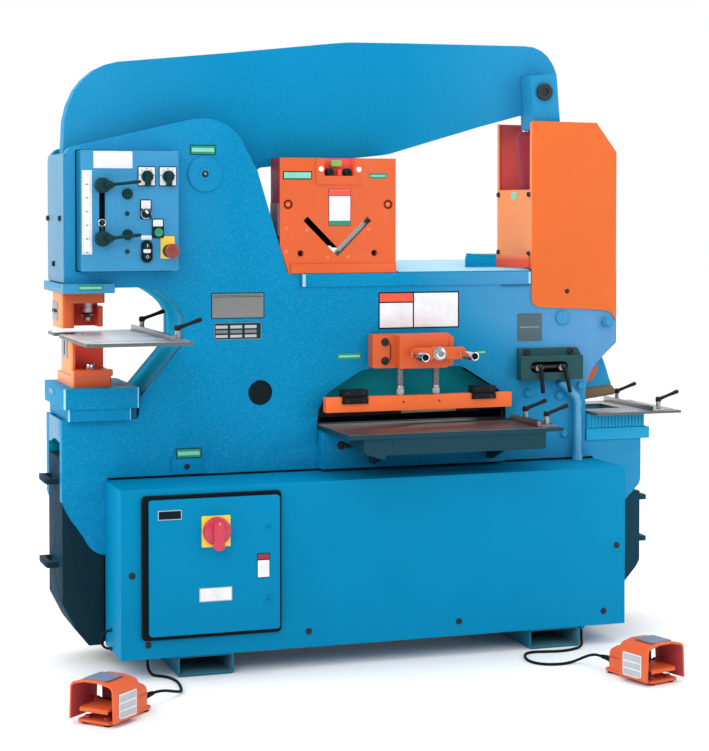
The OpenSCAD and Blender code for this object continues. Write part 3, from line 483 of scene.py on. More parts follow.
def refine(node, mat, bev=1.2, seg=2, rules=(), angle=40):
    """The CAD node's own shape with its hard edges rounded; rules give other materials to faces by centre and normal (machine mm)."""
    src = NODE[node].data
    bm = bmesh.new()
    bm.from_mesh(src)
    bmesh.ops.remove_doubles(bm, verts=bm.verts, dist=2e-5)
    bmesh.ops.dissolve_limit(bm, angle_limit=math.radians(0.4), verts=bm.verts, edges=bm.edges, use_dissolve_boundaries=False)
    bmesh.ops.recalc_face_normals(bm, faces=bm.faces)
    if bev > 0:
        es = [e for e in bm.edges if len(e.link_faces) == 2 and e.calc_face_angle() > math.radians(angle)]
        bmesh.ops.bevel(bm, geom=es, offset=bev / 1000.0, segments=seg, profile=0.6, affect="EDGES", clamp_overlap=True, loop_slide=True)
    mats = [mat] + [r[1] for r in rules]
    for f in bm.faces:
        c = f.calc_center_median()
        p = (c.x * 1000 + OX, c.y * 1000 + OY, c.z * 1000)
        f.material_index = 0
        for k, r in enumerate(rules):
            if r[0](p, f.normal):
                f.material_index = k + 1
    me = bpy.data.meshes.new(node + ".shape")
    bm.to_mesh(me)
    bm.free()
    for m in mats:
        me.materials.append(m)
    finish_mesh(me, 30)
    o = bpy.data.objects.new(node + ".shape", me)
    scene.collection.objects.link(o)
    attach(o, BODY[node])
    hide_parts(node)
    return o


FRONT = (0, -1, 0)


def cap_screw(p, at, d, r, h, mat=None, washer=False):
    """Socket head screw with a chamfered rim and an open socket."""
    mat = mat or BOLT
    p.lathe(at, d, [(r * 0.96, -0.4), (r, 0.3), (r, h - 1.0), (r - 0.9, h), (r * 0.62, h), (r * 0.54, h - 0.5), (r * 0.54, h * 0.45), (0, h * 0.45)], mat, 28)
    if washer:
        p.lathe(at, d, [(r * 1.4, -0.3), (r * 1.4, 1.0), (r * 1.3, 1.4), (0, 1.4)], mat, 32)


def hex_bolt(p, x, z, y, r, h, mat, turn=8):
    pts = [(x + r * math.cos(math.radians(60 * i + turn)), z + r * math.sin(math.radians(60 * i + turn))) for i in range(6)]
    p.lathe((x, y, z), FRONT, [(r * 1.2, -0.4), (r * 1.2, 1.4), (r * 1.1, 1.9), (0, 1.9)], mat, 32)
    p.prism(pts, y - h, y - 1, "y", mat, 1.0)
    p.lathe((x, y, z), FRONT, [(r * 0.74, h - 0.4), (r * 0.7, h + 0.7), (0, h + 0.7)], mat, 24)


def tag(name, body, x0, x1, z0, z1, y, face, rim=None, border=2.0, thick=0.9, r=2.0, fields=()):
    """Blank plate on a front face: rim plate, face plate and any plain fields on it."""
    p = Part(name)
    if rim:
        p.prism(rr(x0, x1, z0, z1, r, 3), y - thick, y + 0.3, "y", rim, 0.25)
        x0, x1, z0, z1 = x0 + border, x1 - border, z0 + border, z1 - border
        p.prism(rr(x0, x1, z0, z1, max(r - border, 0.5), 3), y - thick - 0.35, y - thick + 0.2, "y", face, 0.15)
        top = y - thick - 0.35
    else:
        p.prism(rr(x0, x1, z0, z1, r, 3), y - thick, y + 0.3, "y", face, 0.25)
        top = y - thick
    for a0, a1, b0, b1, m in fields:
        p.box(a0, a1, top - 0.3, top + 0.15, b0, b1, m, 0.1, 1)
    return p.done(body)


# ------------------------------------------------------------------ cords
def smooth(pts, n=6):
    p = [Vector(q) for q in pts]
    p = [p[0] * 2 - p[1]] + p + [p[-1] * 2 - p[-2]]
    out = []
    for i in range(1, len(p) - 2):
        for k in range(n):
            t = k / n
            a, b, c, d = p[i - 1], p[i], p[i + 1], p[i + 2]
            out.append(0.5 * ((2 * b) + (c - a) * t + (2 * a - 5 * b + 4 * c - d) * t * t + (3 * b - a - 3 * c + d) * t ** 3))
    out.append(p[-2])
    return out


def foot_pt(p, a, x, y, z):
    a = math.radians(a)
    return (p[0] + x * math.cos(a) - y * math.sin(a), p[1] + x * math.sin(a) + y * math.cos(a), z)


FOOT_L, FOOT_L_A = (-924, -640), 43
FOOT_R, FOOT_R_A = (667, -723), 105
left_route = [(-670, -150, 48), (-670, -150, 41), (-670, -150, 33), (-669, -153, 20), (-665, -162, 9), (-659, -176, 4.2), (-649, -189, 4.2), (-636, -201, 4.2), (-625, -217, 4.2), (-618, -235, 4.2), (-614, -258, 4.2), (-613, -284, 4.2), (-615, -312, 4.2), (-619, -340, 4.2), (-624, -367, 5), (-632, -393, 8), (-645, -418, 14), (-665, -441, 22), (-690, -463.5, 31), (-714, -485.3, 36.5), foot_pt(FOOT_L, FOOT_L_A, 235, -30, 38)]
right_route = [(662, -190, 48), (662, -190, 41), (662, -190, 33), (661, -193, 20), (657, -203, 9), (650, -217, 4.2), (640, -232, 4.2), (627, -247, 4.2), (610, -259, 4.2), (588, -269, 4.2), (563, -274, 4.2), (535, -273, 4.2), (507, -267, 4.2), (482, -262, 4.2), (460, -264, 4.2), (442, -276, 4.2), (430, -296, 4.2), (421, -320, 4.2), (416, -347, 4.2), (418, -374, 4.2), (428, -397, 4.2), (445, -413, 4.2), (467, -421, 4.2), (490, -423, 4.2), (513, -420, 5), (533, -418, 8), (548, -422, 14), (559, -434, 22), (566, -452, 30), (571.5, -477, 36.5), foot_pt(FOOT_R, FOOT_R_A, 235, 30, 38)]
for side, route in (("left", left_route), ("right", right_route)):
    line = [W(p.x, p.y, max(p.z, 4.2)) for p in smooth(route)]
    cu = bpy.data.curves.new("cord_" + side, "CURVE")
    cu.dimensions = "3D"
    cu.bevel_depth = 0.004
    cu.bevel_resolution = 5
    cu.use_fill_caps = True
    sp = cu.splines.new("POLY")
    sp.points.add(len(line) - 1)
    for q, p in zip(sp.points, line):
        q.co = (p.x, p.y, p.z, 1)
    cu.materials.append(RUBBER)
    o = bpy.data.objects.new("cord_" + side, cu)
    scene.collection.objects.link(o)
    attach(o, "frame")
    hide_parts("pedal_cord_" + side)

# ------------------------------------------------------------------ carried-over shapes
refine("front_side_plate", BLUE, 2.5, rules=[(lambda p, n: abs(n.y) < 0.4 and 1 < p[1] < 39 and -125 < p[0] < 500 and 608 < p[2] < 845, EDGE_DARK)])
refine("rear_side_plate", BLUE, 2.5, rules=[(lambda p, n: n.y < -0.7, INNER_SHADE)])
refine("frame_spacers", THROAT_HIGHLIGHT, 1.5)
# covers: painted sheen overall, painted highlight on the tops, the end faces that look left painted lighter
refine("frame_covers", BLUE_SHEEN, 2.0, rules=[(lambda p, n: n.z > 0.6 and p[2] > 1115, BLUE_TOP_HIGHLIGHT), (lambda p, n: n.x < -0.7 and p[0] < -870, BLUE_LIT_END), (lambda p, n: p[0] > 577 and p[1] > 267, TEAL)])
refine("base_tank", TANK, 3.0, rules=[(lambda p, n: n.x < -0.6 and p[0] < -800, TANK_LIT_SIDE)])
refine("fork_tubes", TEAL, 1.0, rules=[(lambda p, n: n.z * (p[2] - 30) < -0.1 or n.x * (p[0] - (-515 if p[0] < 0 else 563)) < -0.1, TUBE_INSIDE_LIGHT)])
refine("front_cabinet", BLUE_PLAIN, 2.0, rules=[(lambda p, n: p[2] > 545, BLUE_GLOSS_SHEEN)])
refine("door_seal", RUBBER, 3.0, 3)
refine("enclosure_door", BLUE_PLAIN, 2.5, 3)
refine("power_unit", TANK, 1.5)
# painted sheen on the control box, painted shade on its left face
refine("control_box", BLUE_SHEEN, 1.8, rules=[(lambda p, n: n.x < -0.7, BLUE_DEEP_AND_SHADE)])
# painted shade: the stripper housing's inside faces are painted red; its left face is the lit orange
refine("stripper_housing", ORANGE, 3.0, 3, rules=[(lambda p, n: p[2] < 1050 and ((n.y < -0.7 and p[1] > 170) or (n.x > 0.7 and p[0] < -830) or (n.z < -0.7 and p[2] > 1040) or (n.x < -0.7 and p[0] > -760)), RED_AND_INSIDE_SHADE), (lambda p, n: n.x < -0.7 and p[0] < -840, ORANGE_SIDE)])
# painted shade: the die holder recess is painted red; its left face is the lit orange
refine("die_holder", ORANGE, 3.0, 3, rules=[(lambda p, n: 856 < p[2] < 926 and p[1] < 110 and -838 < p[0] and ((n.y < -0.7 and p[1] > 100) or n.x > 0.7 and p[0] < -830 or (n.z < -0.7)), RED_AND_INSIDE_SHADE), (lambda p, n: n.x < -0.7 and p[0] < -820, ORANGE_SIDE)])
# painted highlight on the die block's front vertical edges
refine("station_blocks", BLUE, 2.5, rules=[(lambda p, n: p[0] > 700, NOTCH_BLUE), (lambda p, n: p[0] < -600 and abs(n.x) > 0.3 and n.y < -0.3, BLUE_TOP_HIGHLIGHT)])
refine("gauge_tables", TABLE_TOP, 0.8, rules=[(lambda p, n: p[0] > 600, NOTCH_TOP), (lambda p, n: n.z < 0.6, TABLE_EDGE)])
refine("punch_fence", STEEL, 0.8)
refine("punch_beam", BLUE, 3.0)
refine("punch_cylinder_barrel", CYLINDER_SHADE, 1.5)
refine("punch_cylinder_rod", CHROME, 0.8)
refine("rod_clevis", BLUE, 2.5)
refine("shear_beam", BEAM_SHADE_TEAL, 2.5)
# painted shade: slot faces of the angle blades are painted black
refine("moving_blades", BLADE, 0.8, rules=[(lambda p, n: p[0] > 600, TOOL), (lambda p, n: p[2] > 1095 and p[0] > -56, STEEL_MID), (lambda p, n: p[2] > 1095 and p[0] < -62 and abs(n.x) > 0.4 and abs(n.z) > 0.4, SLOT_SHADE)])
refine("shear_cylinder_rod", CHROME, 0.8)
refine("fixed_blades", BLADE, 0.6, rules=[(lambda p, n: p[0] < -600, STEEL), (lambda p, n: p[2] > 1100 and p[0] > -56, STEEL_MID), (lambda p, n: p[2] > 1100 and p[0] < -56, SLOT_SHADE)])
refine("angle_housing", ORANGE, 2.0, rules=[
    # painted shade: the walls of the V slot's left arm are painted black; the right arm's walls are steel
    (lambda p, n: abs(n.y) < 0.5 and 2 < p[1] < 58 and -180 < p[0] < -62 and 1172 < p[2] < 1312 and abs(n.x) > 0.4 and abs(n.z) > 0.4, SLOT_SHADE),
    (lambda p, n: abs(n.y) < 0.5 and 2 < p[1] < 58 and -44 < p[0] < 76 and 1172 < p[2] < 1312 and abs(n.x) > 0.4 and abs(n.z) > 0.4, SLOT_EDGE),
    # painted shade: the housing's left face is painted dark red for shaded orange
    (lambda p, n: n.x < -0.7 and p[0] < -220 and p[1] > 4, RED_DARK),
    # painted shade: the window's inside faces are painted red
    (lambda p, n: -97 < p[0] < 0 and 1417 < p[2] < 1472 and (n.y < -0.7 and p[1] > 30 or abs(n.x) > 0.7 or n.z > 0.7 and p[2] < 1420), RED_AND_INSIDE_SHADE)])
refine("shear_table", TABLE_STEEL_REFLECT, 1.0, rules=[(lambda p, n: p[2] < 674 and n.z < 0.5, TABLE_UNDER_SHADE)])
refine("shear_fence", TABLE_STEEL_REFLECT, 0.8)
refine("holddown_housing", ORANGE, 3.0, 3)
# guard: the red inside faces are painted shade; the left cover is painted lit orange with painted shade along its
# bottom
refine("cylinder_guard", ORANGE_SHEET, 0.8, rules=[
    (lambda p, n: n.y < -0.5 and p[1] > 200, RED_SHADE), (lambda p, n: n.y > 0.5 and p[1] < 5, RED_SHADE), (lambda p, n: n.x < -0.5 and p[0] > 780 and p[1] < 268, RED_SHADE),
    (lambda p, n: n.x < -0.7 and p[0] < 580, ORANGE_LIT_COVER)])
# painted shade: the inside of the lever slot is painted black
refine("lever_block", GREEN_GREY, 2.0, 3, rules=[(lambda p, n: 555 < p[0] < 683 and 814 < p[2] < 849 and p[1] > -45, SLOT_SHADE)])
refine("notcher_fence", STEEL, 0.8)

# ------------------------------------------------------------------ pivot caps
p = Part("pivot_caps")
for (x, z, r, ys, front) in ((-461, 1421, 45, 0, 52), (-518, 567, 40, 0, 0), (683, 981, 22, -3, 0)):
    p.lathe((x, ys, z), (0, 1, 0), [(r - 0.2, 0), (r - 0.04, 1), (r - 0.04, 264 - ys), (0, 264 - ys)], BLUE_SHEEN, 48)
p.lathe((-461, 0.3, 1421), FRONT, [(52, 0), (52, 3.6), (50.5, 5.3), (20, 5.3), (19, 4.4), (18, 5.3), (11, 5.3), (10, 4.5), (10, 1.0), (0, 1.0)], BLUE, 64)
p.lathe((-461, -0.5, 1421), FRONT, [(9.8, 0), (9.8, 4.2), (8.6, 5.2), (5.4, 5.2), (4.8, 4.6), (0, 4.6)], BOLT, 32)
p.lathe((-461, -5.0, 1421), FRONT, [(4.2, 0), (4.2, 1.6), (2.6, 3.4), (0, 3.4)], CHROME, 24)
p.lathe((-461, 265, 1421), (0, 1, 0), [(52, -0.3), (52, 3.4), (50.5, 5), (0, 5)], BLUE, 64)
arch_pts = [(-518 + 46 * math.cos(math.radians(12 * i)), 575 + 46 * math.sin(math.radians(12 * i))) for i in range(16)] + [(-564, 545), (-472, 545)]
p.prism(arch_pts, -4, 0.3, "y", BLUE, 1.2)
p.lathe((-518, -3.6, 567), FRONT, [(9, 0), (9, 0.9), (8, 1.5), (5, 1.5), (4.6, 0.6), (0, 0.6)], BOLT, 28)
p.lathe((-518, 265, 567), (0, 1, 0), [(46, -0.3), (46, 2.6), (44.6, 4), (0, 4)], BLUE, 64)
p.lathe((683, -0.5, 981), FRONT, [(22, 0), (22, 4.4), (20.6, 5.8), (0, 6.0)], BLUE_SHEEN, 48)
p.lathe((683, 266, 981), (0, 1, 0), [(22, -2), (22, 1), (21, 2), (0, 2)], BLUE_SHEEN, 48)
p.lathe((832, 0.3, 964), FRONT, [(16, 0), (16, 21), (15, 22.3), (11, 22.3), (11, 26.4), (9.6, 28.2), (0, 28.2)], BLUE_SHEEN, 40)
p.done("frame", "pivot_pins")

# ------------------------------------------------------------------ fasteners
p = Part("fasteners")
p.lathe((-294, 14, 776), FRONT, [(36.5, 0), (36.5, 10), (35, 11.2), (30, 11.4), (29, 10.6), (0, 10.8)], EDGE_DARK, 56)
for x, z in ((-728, 297), (-683, 100), (-213, 106), (251, 103), (722, 102), (765, 300)):
    cap_screw(p, (x, -220, z), FRONT, 7.0, 4.2, washer=True)
for z in (863, 920):
    cap_screw(p, (83, -40, z), FRONT, 9.0, 8.5, washer=True)
for x in (556, 704):
    cap_screw(p, (x, -14, 877), FRONT, 9.5, 8.0)
for x, z, t in ((566, 748, 8), (672, 738, 20), (746, 767, 3), (689, 619, 14)):
    hex_bolt(p, x, z, 0, 13, 9, BLUE, t)
for x, z in ((-706, 1362), (-706, 1246)):
    p.lathe((x, -70, z), FRONT, [(15.5, -0.3), (15.5, 3), (14.2, 4), (14.2, 10), (12.6, 13), (8, 14), (0, 14)], BLACK_GREEN, 36)
for x, z in ((-707, 1306), (-707, 1198)):
    p.lathe((x, -70, z), FRONT, [(6.4, -0.3), (6.4, 2.5), (5.2, 4.6), (2.6, 5.2), (2.2, 3.6), (0, 3.6)], BOLT, 24)
for y in (16, 256):
    for z in (1180, 1364):
        cap_screw(p, (577, y, z), (-1, 0, 0), 8.0, 6.0)
p.lathe((697, -5, 1063), FRONT, [(7.5, -0.3), (7.5, 0.8), (6, 1), (6, 2.4), (4.6, 3.8), (2.4, 4.2), (2.0, 2.8), (0, 2.8)], BOLT, 28)
for y, z in ((45, 1292), (245, 1292), (150, 1159)):
    cap_screw(p, (-877, y, z), (-1, 0, 0), 8.0, 7.5)
for x in (-71, -15):
    p.lathe((x, 41, 1430), FRONT, [(11.5, 0), (11.5, 26), (10, 29), (5, 30), (4.6, 24), (0, 24)], BLACK_GREEN, 28)
for z in (1194, 1262):
    p.lathe((106, 2.3, z), FRONT, [(4.2, 0), (4.2, 1.0), (3.2, 1.8), (0, 2.0)], RED_AND_INSIDE_SHADE, 20)
cap_screw(p, (-57, -44, 615), FRONT, 9.0, 13.0, washer=True)
p.lathe((-50, -52, 613), (1, 0, 0), [(5, 0), (5, 30), (7, 31), (7, 40), (4.4, 42), (4.4, 76), (0, 76)], BOLT, 20)
p.done("frame", "frame_fasteners")

# ------------------------------------------------------------------ beam end pin
p = Part("beam_end_pin_set")
p.lathe((626, 13, 1682), (0, 1, 0), [(19.9, 0), (19.9, 239), (0, 239)], BOLT, 40)
p.lathe((626, 14, 1682), FRONT, [(26, -0.3), (26, 6.2), (24, 8.2), (13, 8.2), (11.6, 7.0), (11.6, 2.5), (0, 2.5)], BOLT, 48)
for k in range(18):
    a = 2 * math.pi * k / 18
    p.lathe((626 + 26 * math.cos(a), 14, 1682 + 26 * math.sin(a)), FRONT, [(1.3, 0), (1.3, 5.2), (0.6, 6.0), (0, 6.0)], BOLT, 8)
p.lathe((626, 251, 1682), (0, 1, 0), [(26, -0.3), (26, 4.4), (24, 6), (0, 6)], BOLT, 48)
p.done("punch_beam_body", "beam_end_pin")

# ------------------------------------------------------------------ control panel
# painted shade: a dark ring round the back of the control box stands in for the shadow gap between box and plate
p = Part("control_box_shadow_gap")
p.hoop(rr(-843, -554, 1138.5, 1489, 6), rr(-836, -561, 1146, 1482, 4), -2.2, 0.2, "y", EDGE_DARK, 0.4)
p.done("frame")
# painted shade: a black sheet behind the slot stands in for the shade inside the hollow box; its pale rim is painted
# sheen
p = Part("stop_slot_shade_backing")
p.prism(rr(-800, -758, 1196, 1420, 10), -50, -46.5, "y", RUBBER, 0.6)
p.hoop(rr(-790, -768, 1202, 1415, 11), rr(-787.4, -770.6, 1215.4, 1406, 8.3), -70.9, -69.8, "y", BLUE_SHEEN, 0.3)
p.done("frame")
p = Part("stroke_scale")
p.prism(rr(-836.5, -808, 1191, 1429, 1.0, 2), -70.9, -69.7, "y", LEGEND, 0.2)
for i in range(48):
    z = 1196 + i * 4.83
    w = 7.0 if i % 8 == 0 else (4.6 if i % 4 == 0 else 2.6)
    p.box(-834.6, -834.6 + w, -71.1, -70.8, z - 0.45, z + 0.45, TICK, 0.0)
    p.box(-810 - w, -810, -71.1, -70.8, z - 0.45, z + 0.45, TICK, 0.0)
    if i % 8 == 0:
        p.box(-825, -819, -71.1, -70.8, z - 1.8, z + 1.8, TICK, 0.0)
p.done("frame")
tag("blank_sticker", "frame", -803, -691, 1435, 1483, -70, LEGEND, None, thick=0.5, r=1)
p = Part("cam_switch_plates")
for x in (-650, -588.5):
    p.prism(rr(x - 26, x + 26, 1384, 1441, 2, 3), -72.2, -69.8, "y", BLACK_GREEN, 0.5)
    p.prism(rr(x - 23.6, x + 23.6, 1387, 1438.4, 1.2, 3), -73.0, -72.0, "y", LEGEND, 0.25)
    for k in range(-2, 3):
        a = math.radians(90 + 42 * k)
        cx, cz = x + 20.5 * math.cos(a), 1413 + 21.5 * math.sin(a)
        p.box(cx - 1.3, cx + 1.3, -73.25, -72.9, cz - 1.3, cz + 1.3, BLACK, 0.0)
p.done("frame")
for x, who in ((-650, "left"), (-588.5, "right")):
    p = Part("cam_knob_" + who)
    p.lathe((x, -58, 1412), FRONT, [(7, 0), (7, 17), (15.6, 17), (17, 18.2), (17, 26), (15.4, 28.5), (0, 28.8)], BLACK_GREEN, 40)
    p.prism(rr(x - 8, x + 8, 1383, 1424, 7), -95, -80, "y", BLACK_GREEN, 2.2, 3)
    p.done("cam_%s_body" % who, "cam_switch_" + who)
p = Part("panel_button_holders")
# selector
p.prism(rr(-669.5, -636.5, 1290, 1346, 4), -72.6, -69.8, "y", BLACK_GREEN, 0.6)
p.prism(rr(-666.5, -639.5, 1320.5, 1343.5, 1.2), -73.2, -72.4, "y", LEGEND, 0.2)
p.lathe((-653, -72, 1306), FRONT, [(15.8, 0), (15.8, 3.4), (14.9, 4.6), (13.7, 4.8), (13.4, 4.2), (13.4, 0), (15.8, 0)], CHROME, 40)
# start
p.prism(rr(-635.5, -600.5, 1236, 1291.5, 4), -72.6, -69.8, "y", BLACK_GREEN, 0.6)
p.prism(rr(-632.5, -604, 1269.5, 1288.5, 1.2), -73.2, -72.4, "y", LEGEND, 0.2)
p.lathe((-618, -72, 1252), FRONT, [(16, 0), (16, 5.0), (15, 6.6), (13.4, 7.0), (12.7, 6.2), (12.7, 0), (16, 0)], BLACK_GREEN, 40)
# twin push buttons
p.prism(rr(-667, -635, 1166, 1230, 15.5), -73.4, -69.8, "y", BLACK_GREEN, 0.8)
p.hoop(rr(-667, -635, 1166, 1230, 15.5), rr(-662.5, -639.5, 1170.5, 1225.5, 11), -77.6, -73.2, "y", BLACK, 0.8)
p.prism(rr(-661.5, -640.5, 1193.4, 1204.6, 3), -79.4, -73.2, "y", LEGEND, 0.9)
p.prism(rr(-666, -636, 1231.5, 1243.5, 1.2), -71.2, -69.8, "y", LEGEND, 0.2)
# stop plate
p.prism(rr(-610, -569, 1177, 1241, 2.5), -71.4, -69.8, "y", YELLOW, 0.4)
p.lathe((-585, -71, 1199), FRONT, [(19, 0), (19, 4), (17, 6), (13, 6.4), (12.4, 14), (10.4, 14), (10.4, 0), (19, 0)], BLACK_GREEN, 40)
p.done("frame")
p = Part("start_push")
p.lathe((-618, -58, 1252), FRONT, [(8, 0), (8, 20), (11.8, 20), (12.1, 21), (12.1, 26), (11, 28), (8, 28.8), (0, 29.2)], GREEN, 36)
p.done("start_body", "start_button")
p = Part("on_push")
p.lathe((-651, -58, 1215), FRONT, [(6, 0), (6, 19.6), (9, 19.6), (9.2, 20.4), (9.2, 25), (8.2, 26.6), (0, 26.9)], BLACK_GREEN, 32)
p.box(-651.9, -650.1, -85.4, -84.6, 1211, 1219, LEGEND, 0.1, 1)
p.done("on_body", "on_button")
p = Part("off_push")
p.lathe((-651, -58, 1183), FRONT, [(6, 0), (6, 19.6), (9, 19.6), (9.2, 20.4), (9.2, 25), (8.2, 26.6), (0, 26.9)], BLACK_GREEN, 32)
p.torus((-651, -84.8, 1183), FRONT, 3.6, 0.6, LEGEND, 24, 8)
p.done("off_body", "off_button")
p = Part("stop_mushroom")
p.lathe((-585, -58, 1199), FRONT, [(9, 0), (9, 36), (14, 37), (15, 40), (19, 43.4), (21, 46), (21, 54.5), (20, 57), (17.6, 58.2), (0, 58.6)], RED_BRICK, 48)
p.lathe((-585, -93, 1199), FRONT, [(15.4, 0), (15.4, 5), (19.6, 8.6), (20.4, 9.8), (0, 9.8)], BLACK_GREEN, 40)
p.done("estop_body", "estop_button")
p = Part("mode_turn_knob")
p.lathe((-653, -58, 1306), FRONT, [(7, 0), (7, 18), (12.6, 18), (13, 19), (13, 24), (11.8, 26), (0, 26.2)], BLACK_GREEN, 36)
turn = Matrix.Translation((-653, 0, 1306)) @ Matrix.Rotation(math.radians(-40), 4, "Y")
p.prism(rr(-5, 5, -12, 12, 4), -98, -82, "y", BLACK, 1.6, 2, turn)
p.prism(rr(-2.2, 4.2, 0, 11, 2), -98.8, -97, "y", WHITE, 0.6, 2, turn)
p.done("selector_body", "mode_selector")
for z, who in ((1386, "upper"), (1235, "lower")):
    p = Part("stroke_stop_clamp_" + who)
    p.lathe((-779, -52, z), FRONT, [(7, 0), (7, 19.4), (0, 19.4)], BOLT, 24)
    p.lathe((-779, -71, z), FRONT, [(20.5, 0), (22, 1.2), (22, 17), (20.6, 21), (15, 24.5), (7, 26), (0, 26.2)], BLACK_GREEN, 44)
    p.lathe((-762, -84, z + 1), FRONT, [(11, 0), (11.6, 1), (11.6, 20), (10, 24), (5, 25.4), (3.6, 25.2), (3.2, 24), (0, 24)], BLACK_GREEN, 32)
    pts = [Vector((-766, -104.5, z + 1)).lerp(Vector((-674, -104.5, z + 11)), t) for t in (0, 0.12, 0.25, 0.45, 0.65, 0.85, 0.95, 1.0)]
    p.sweep(pts, [6.6, 6.0, 5.0, 4.6, 4.8, 5.2, 5.0, 3.6], BLACK_GREEN, 18)
    if who == "lower":
        p.prism(rr(-783, -775, z + 15, z + 52, 2), -73.6, -71.6, "y", BOLT, 0.4)
        p.torus((-780, -74.8, z + 45), FRONT, 10.0, 0.9, CHROME, 36, 8)
    p.done("stop_%s_body" % who, "stroke_stop_" + who)

# ------------------------------------------------------------------ blank tags and plates
tag("cap_tag", "frame", -843, -769, 1086, 1102, -33, GREEN_TAG, None, thick=0.6, r=1, fields=[(-838, -774, 1091, 1097, PALE_GREEN)])
tag("data_plate", "frame", -443, -282, 997, 1073, 0, PLATE_GREY, EDGE_DARK, 2.4, fields=[(-437, -288, 1060, 1061.4, EDGE_DARK), (-437, -288, 1064.4, 1065.4, EDGE_DARK)])
cells = [(-430 + 44 * i, -394 + 44 * i, z0, z1, m) for i in range(3) for z0, z1, m in ((968, 977, LEGEND_GREY), (954, 963, PLATE_GREY), (941, 949, LEGEND_GREY))]
tag("data_plate_small", "frame", -434, -291, 935, 985, 0, BLACK_GREEN, PLATE_GREY, 2.0, fields=cells)
tag("pivot_tag", "frame", -506, -428, 1477, 1506, 0, GREEN_TAG, EDGE_DARK, 2.2, fields=[(-500, -434, 1486, 1497, PALE_GREEN)])
tag("lower_pivot_tag", "frame", -551, -475, 591, 620, -4, GREEN_TAG, EDGE_DARK, 2.2, fields=[(-545, -481, 600, 611, PALE_GREEN)])
tag("hold_tag_left", "frame", -54, 20, 868, 886, 0, GREEN_TAG, None, thick=0.5, r=1, fields=[(-50, 16, 874, 880, PALE_GREEN)])
tag("hold_tag_right", "frame", 393, 427, 873, 885, 0, GREEN_TAG, None, thick=0.5, r=1, fields=[(396, 424, 877, 881, PALE_GREEN)])
tag("blank_label", "frame", 76, 337, 957, 1068, 0, LEGEND, RUBBER, 4.0, r=2, fields=[(186, 190, 961, 1064, RUBBER), (80, 186, 1039, 1064, RED_AND_INSIDE_SHADE), (80, 186, 1035, 1039, RUBBER)])
tag("blank_icon_plate", "frame", 531, 614, 910, 996, 0, PLATE_DARK, None, thick=1.2, r=6, fields=[(540, 605, 952.4, 954, LEGEND_GREY)])
tag("housing_label", "frame", -82, -11, 1268, 1379, 2, LEGEND, RED_DARK, 2.4, r=2, fields=[(-79.6, -13.4, 1360, 1376, RED_AND_INSIDE_SHADE), (-79.6, -13.4, 1357.6, 1360, RED_DARK), (-79.6, -13.4, 1270.4, 1284, GREEN_TAG)])
tag("housing_tag_left", "frame", -223, -133, 1407, 1431, 2, PALE_GREEN, EDGE_DARK, 3.0, r=1.5)
tag("housing_tag_right", "frame", 47, 103, 1410, 1427, 2, GREEN_TAG, None, thick=0.6, r=3, fields=[(52, 98, 1415.6, 1421, PALE_GREEN)])
p = Part("housing_fittings")
for x, z in ((-106, 1438), (13, 1437)):
    p.lathe((x, -2.7, z), FRONT, [(8.2, 0), (8.2, 1.2), (7, 3), (3, 4.2), (2.6, 2.6), (0, 2.6)], WHITE, 28)
for x in (-207, 107):
    p.lathe((x, 16, 1333), FRONT, [(9.6, 0), (9.6, 8), (7.4, 8.4), (7.4, 11.4), (6.6, 12.4), (0, 12.8)], ORANGE_BAR, 32)
    # painted shade: a dark red ring round each knob
    p.lathe((x, 2.2, 1333), FRONT, [(14.0, 0), (14.0, 0.9), (13.2, 1.4), (9.4, 1.4), (9.0, 1.0), (9.0, 0), (14.0, 0)], RED_RECESS_SHADE, 40)
for x in (-169, 63):
    p.lathe((x, 24, 1187), FRONT, [(7.8, 0), (7.8, 6), (6.6, 7), (3.4, 7), (3, 4), (0, 4)], RUBBER, 28)
    # painted shade: a dark red ring round each plug hole
    p.lathe((x, 2.2, 1187), FRONT, [(9.8, 0), (9.8, 0.7), (9, 1.1), (8.4, 1.1), (8.1, 0.8), (8.1, 0), (9.8, 0)], RED_DARK, 36)
p.prism(rr(-68, -36, 1447, 1465, 3), 14, 37, "y", GREEN_PART, 1.5)
p.box(-49, -39, 6, 30, 1419, 1436, RED_AND_INSIDE_SHADE, 1.2)
p.prism([(6, 1240), (96, 1240), (96, 1336), (6, 1336)], -235.6, -233.2, "x", HOUSING_PLATE, 0.8)
for x, z in ((-213, 1261), (-149, 1257), (-214, 1192), (-83, 1175), (-20, 1175), (44, 1258)):
    p.lathe((x, 2.2, z), FRONT, [(5.4, 0), (5.4, 0.3), (4.8, 0.6), (0, 0.7)], PINK, 24)
# painted shade: a black sheet behind the V slot stands in for the shade inside the housing
p.prism(rr(-214, -54, 1150, 1330, 4), 93.5, 96.5, "y", SLOT_SHADE, 0.5)
p.done("frame")
p = Part("cap_end_rim")
p.box(-885, -873.5, -1.4, 266.4, 1091.6, 1105, BLUE_SHEEN, 1.5)
p.done("frame")
# painted shade: a dark blue block fills the gap beside the die block
p = Part("die_block_gap_shade")
p.box(-686.6, -665.4, 4, 262, 712.3, 746.4, BLUE_DEEP_AND_SHADE, 1.5)
p.done("frame")
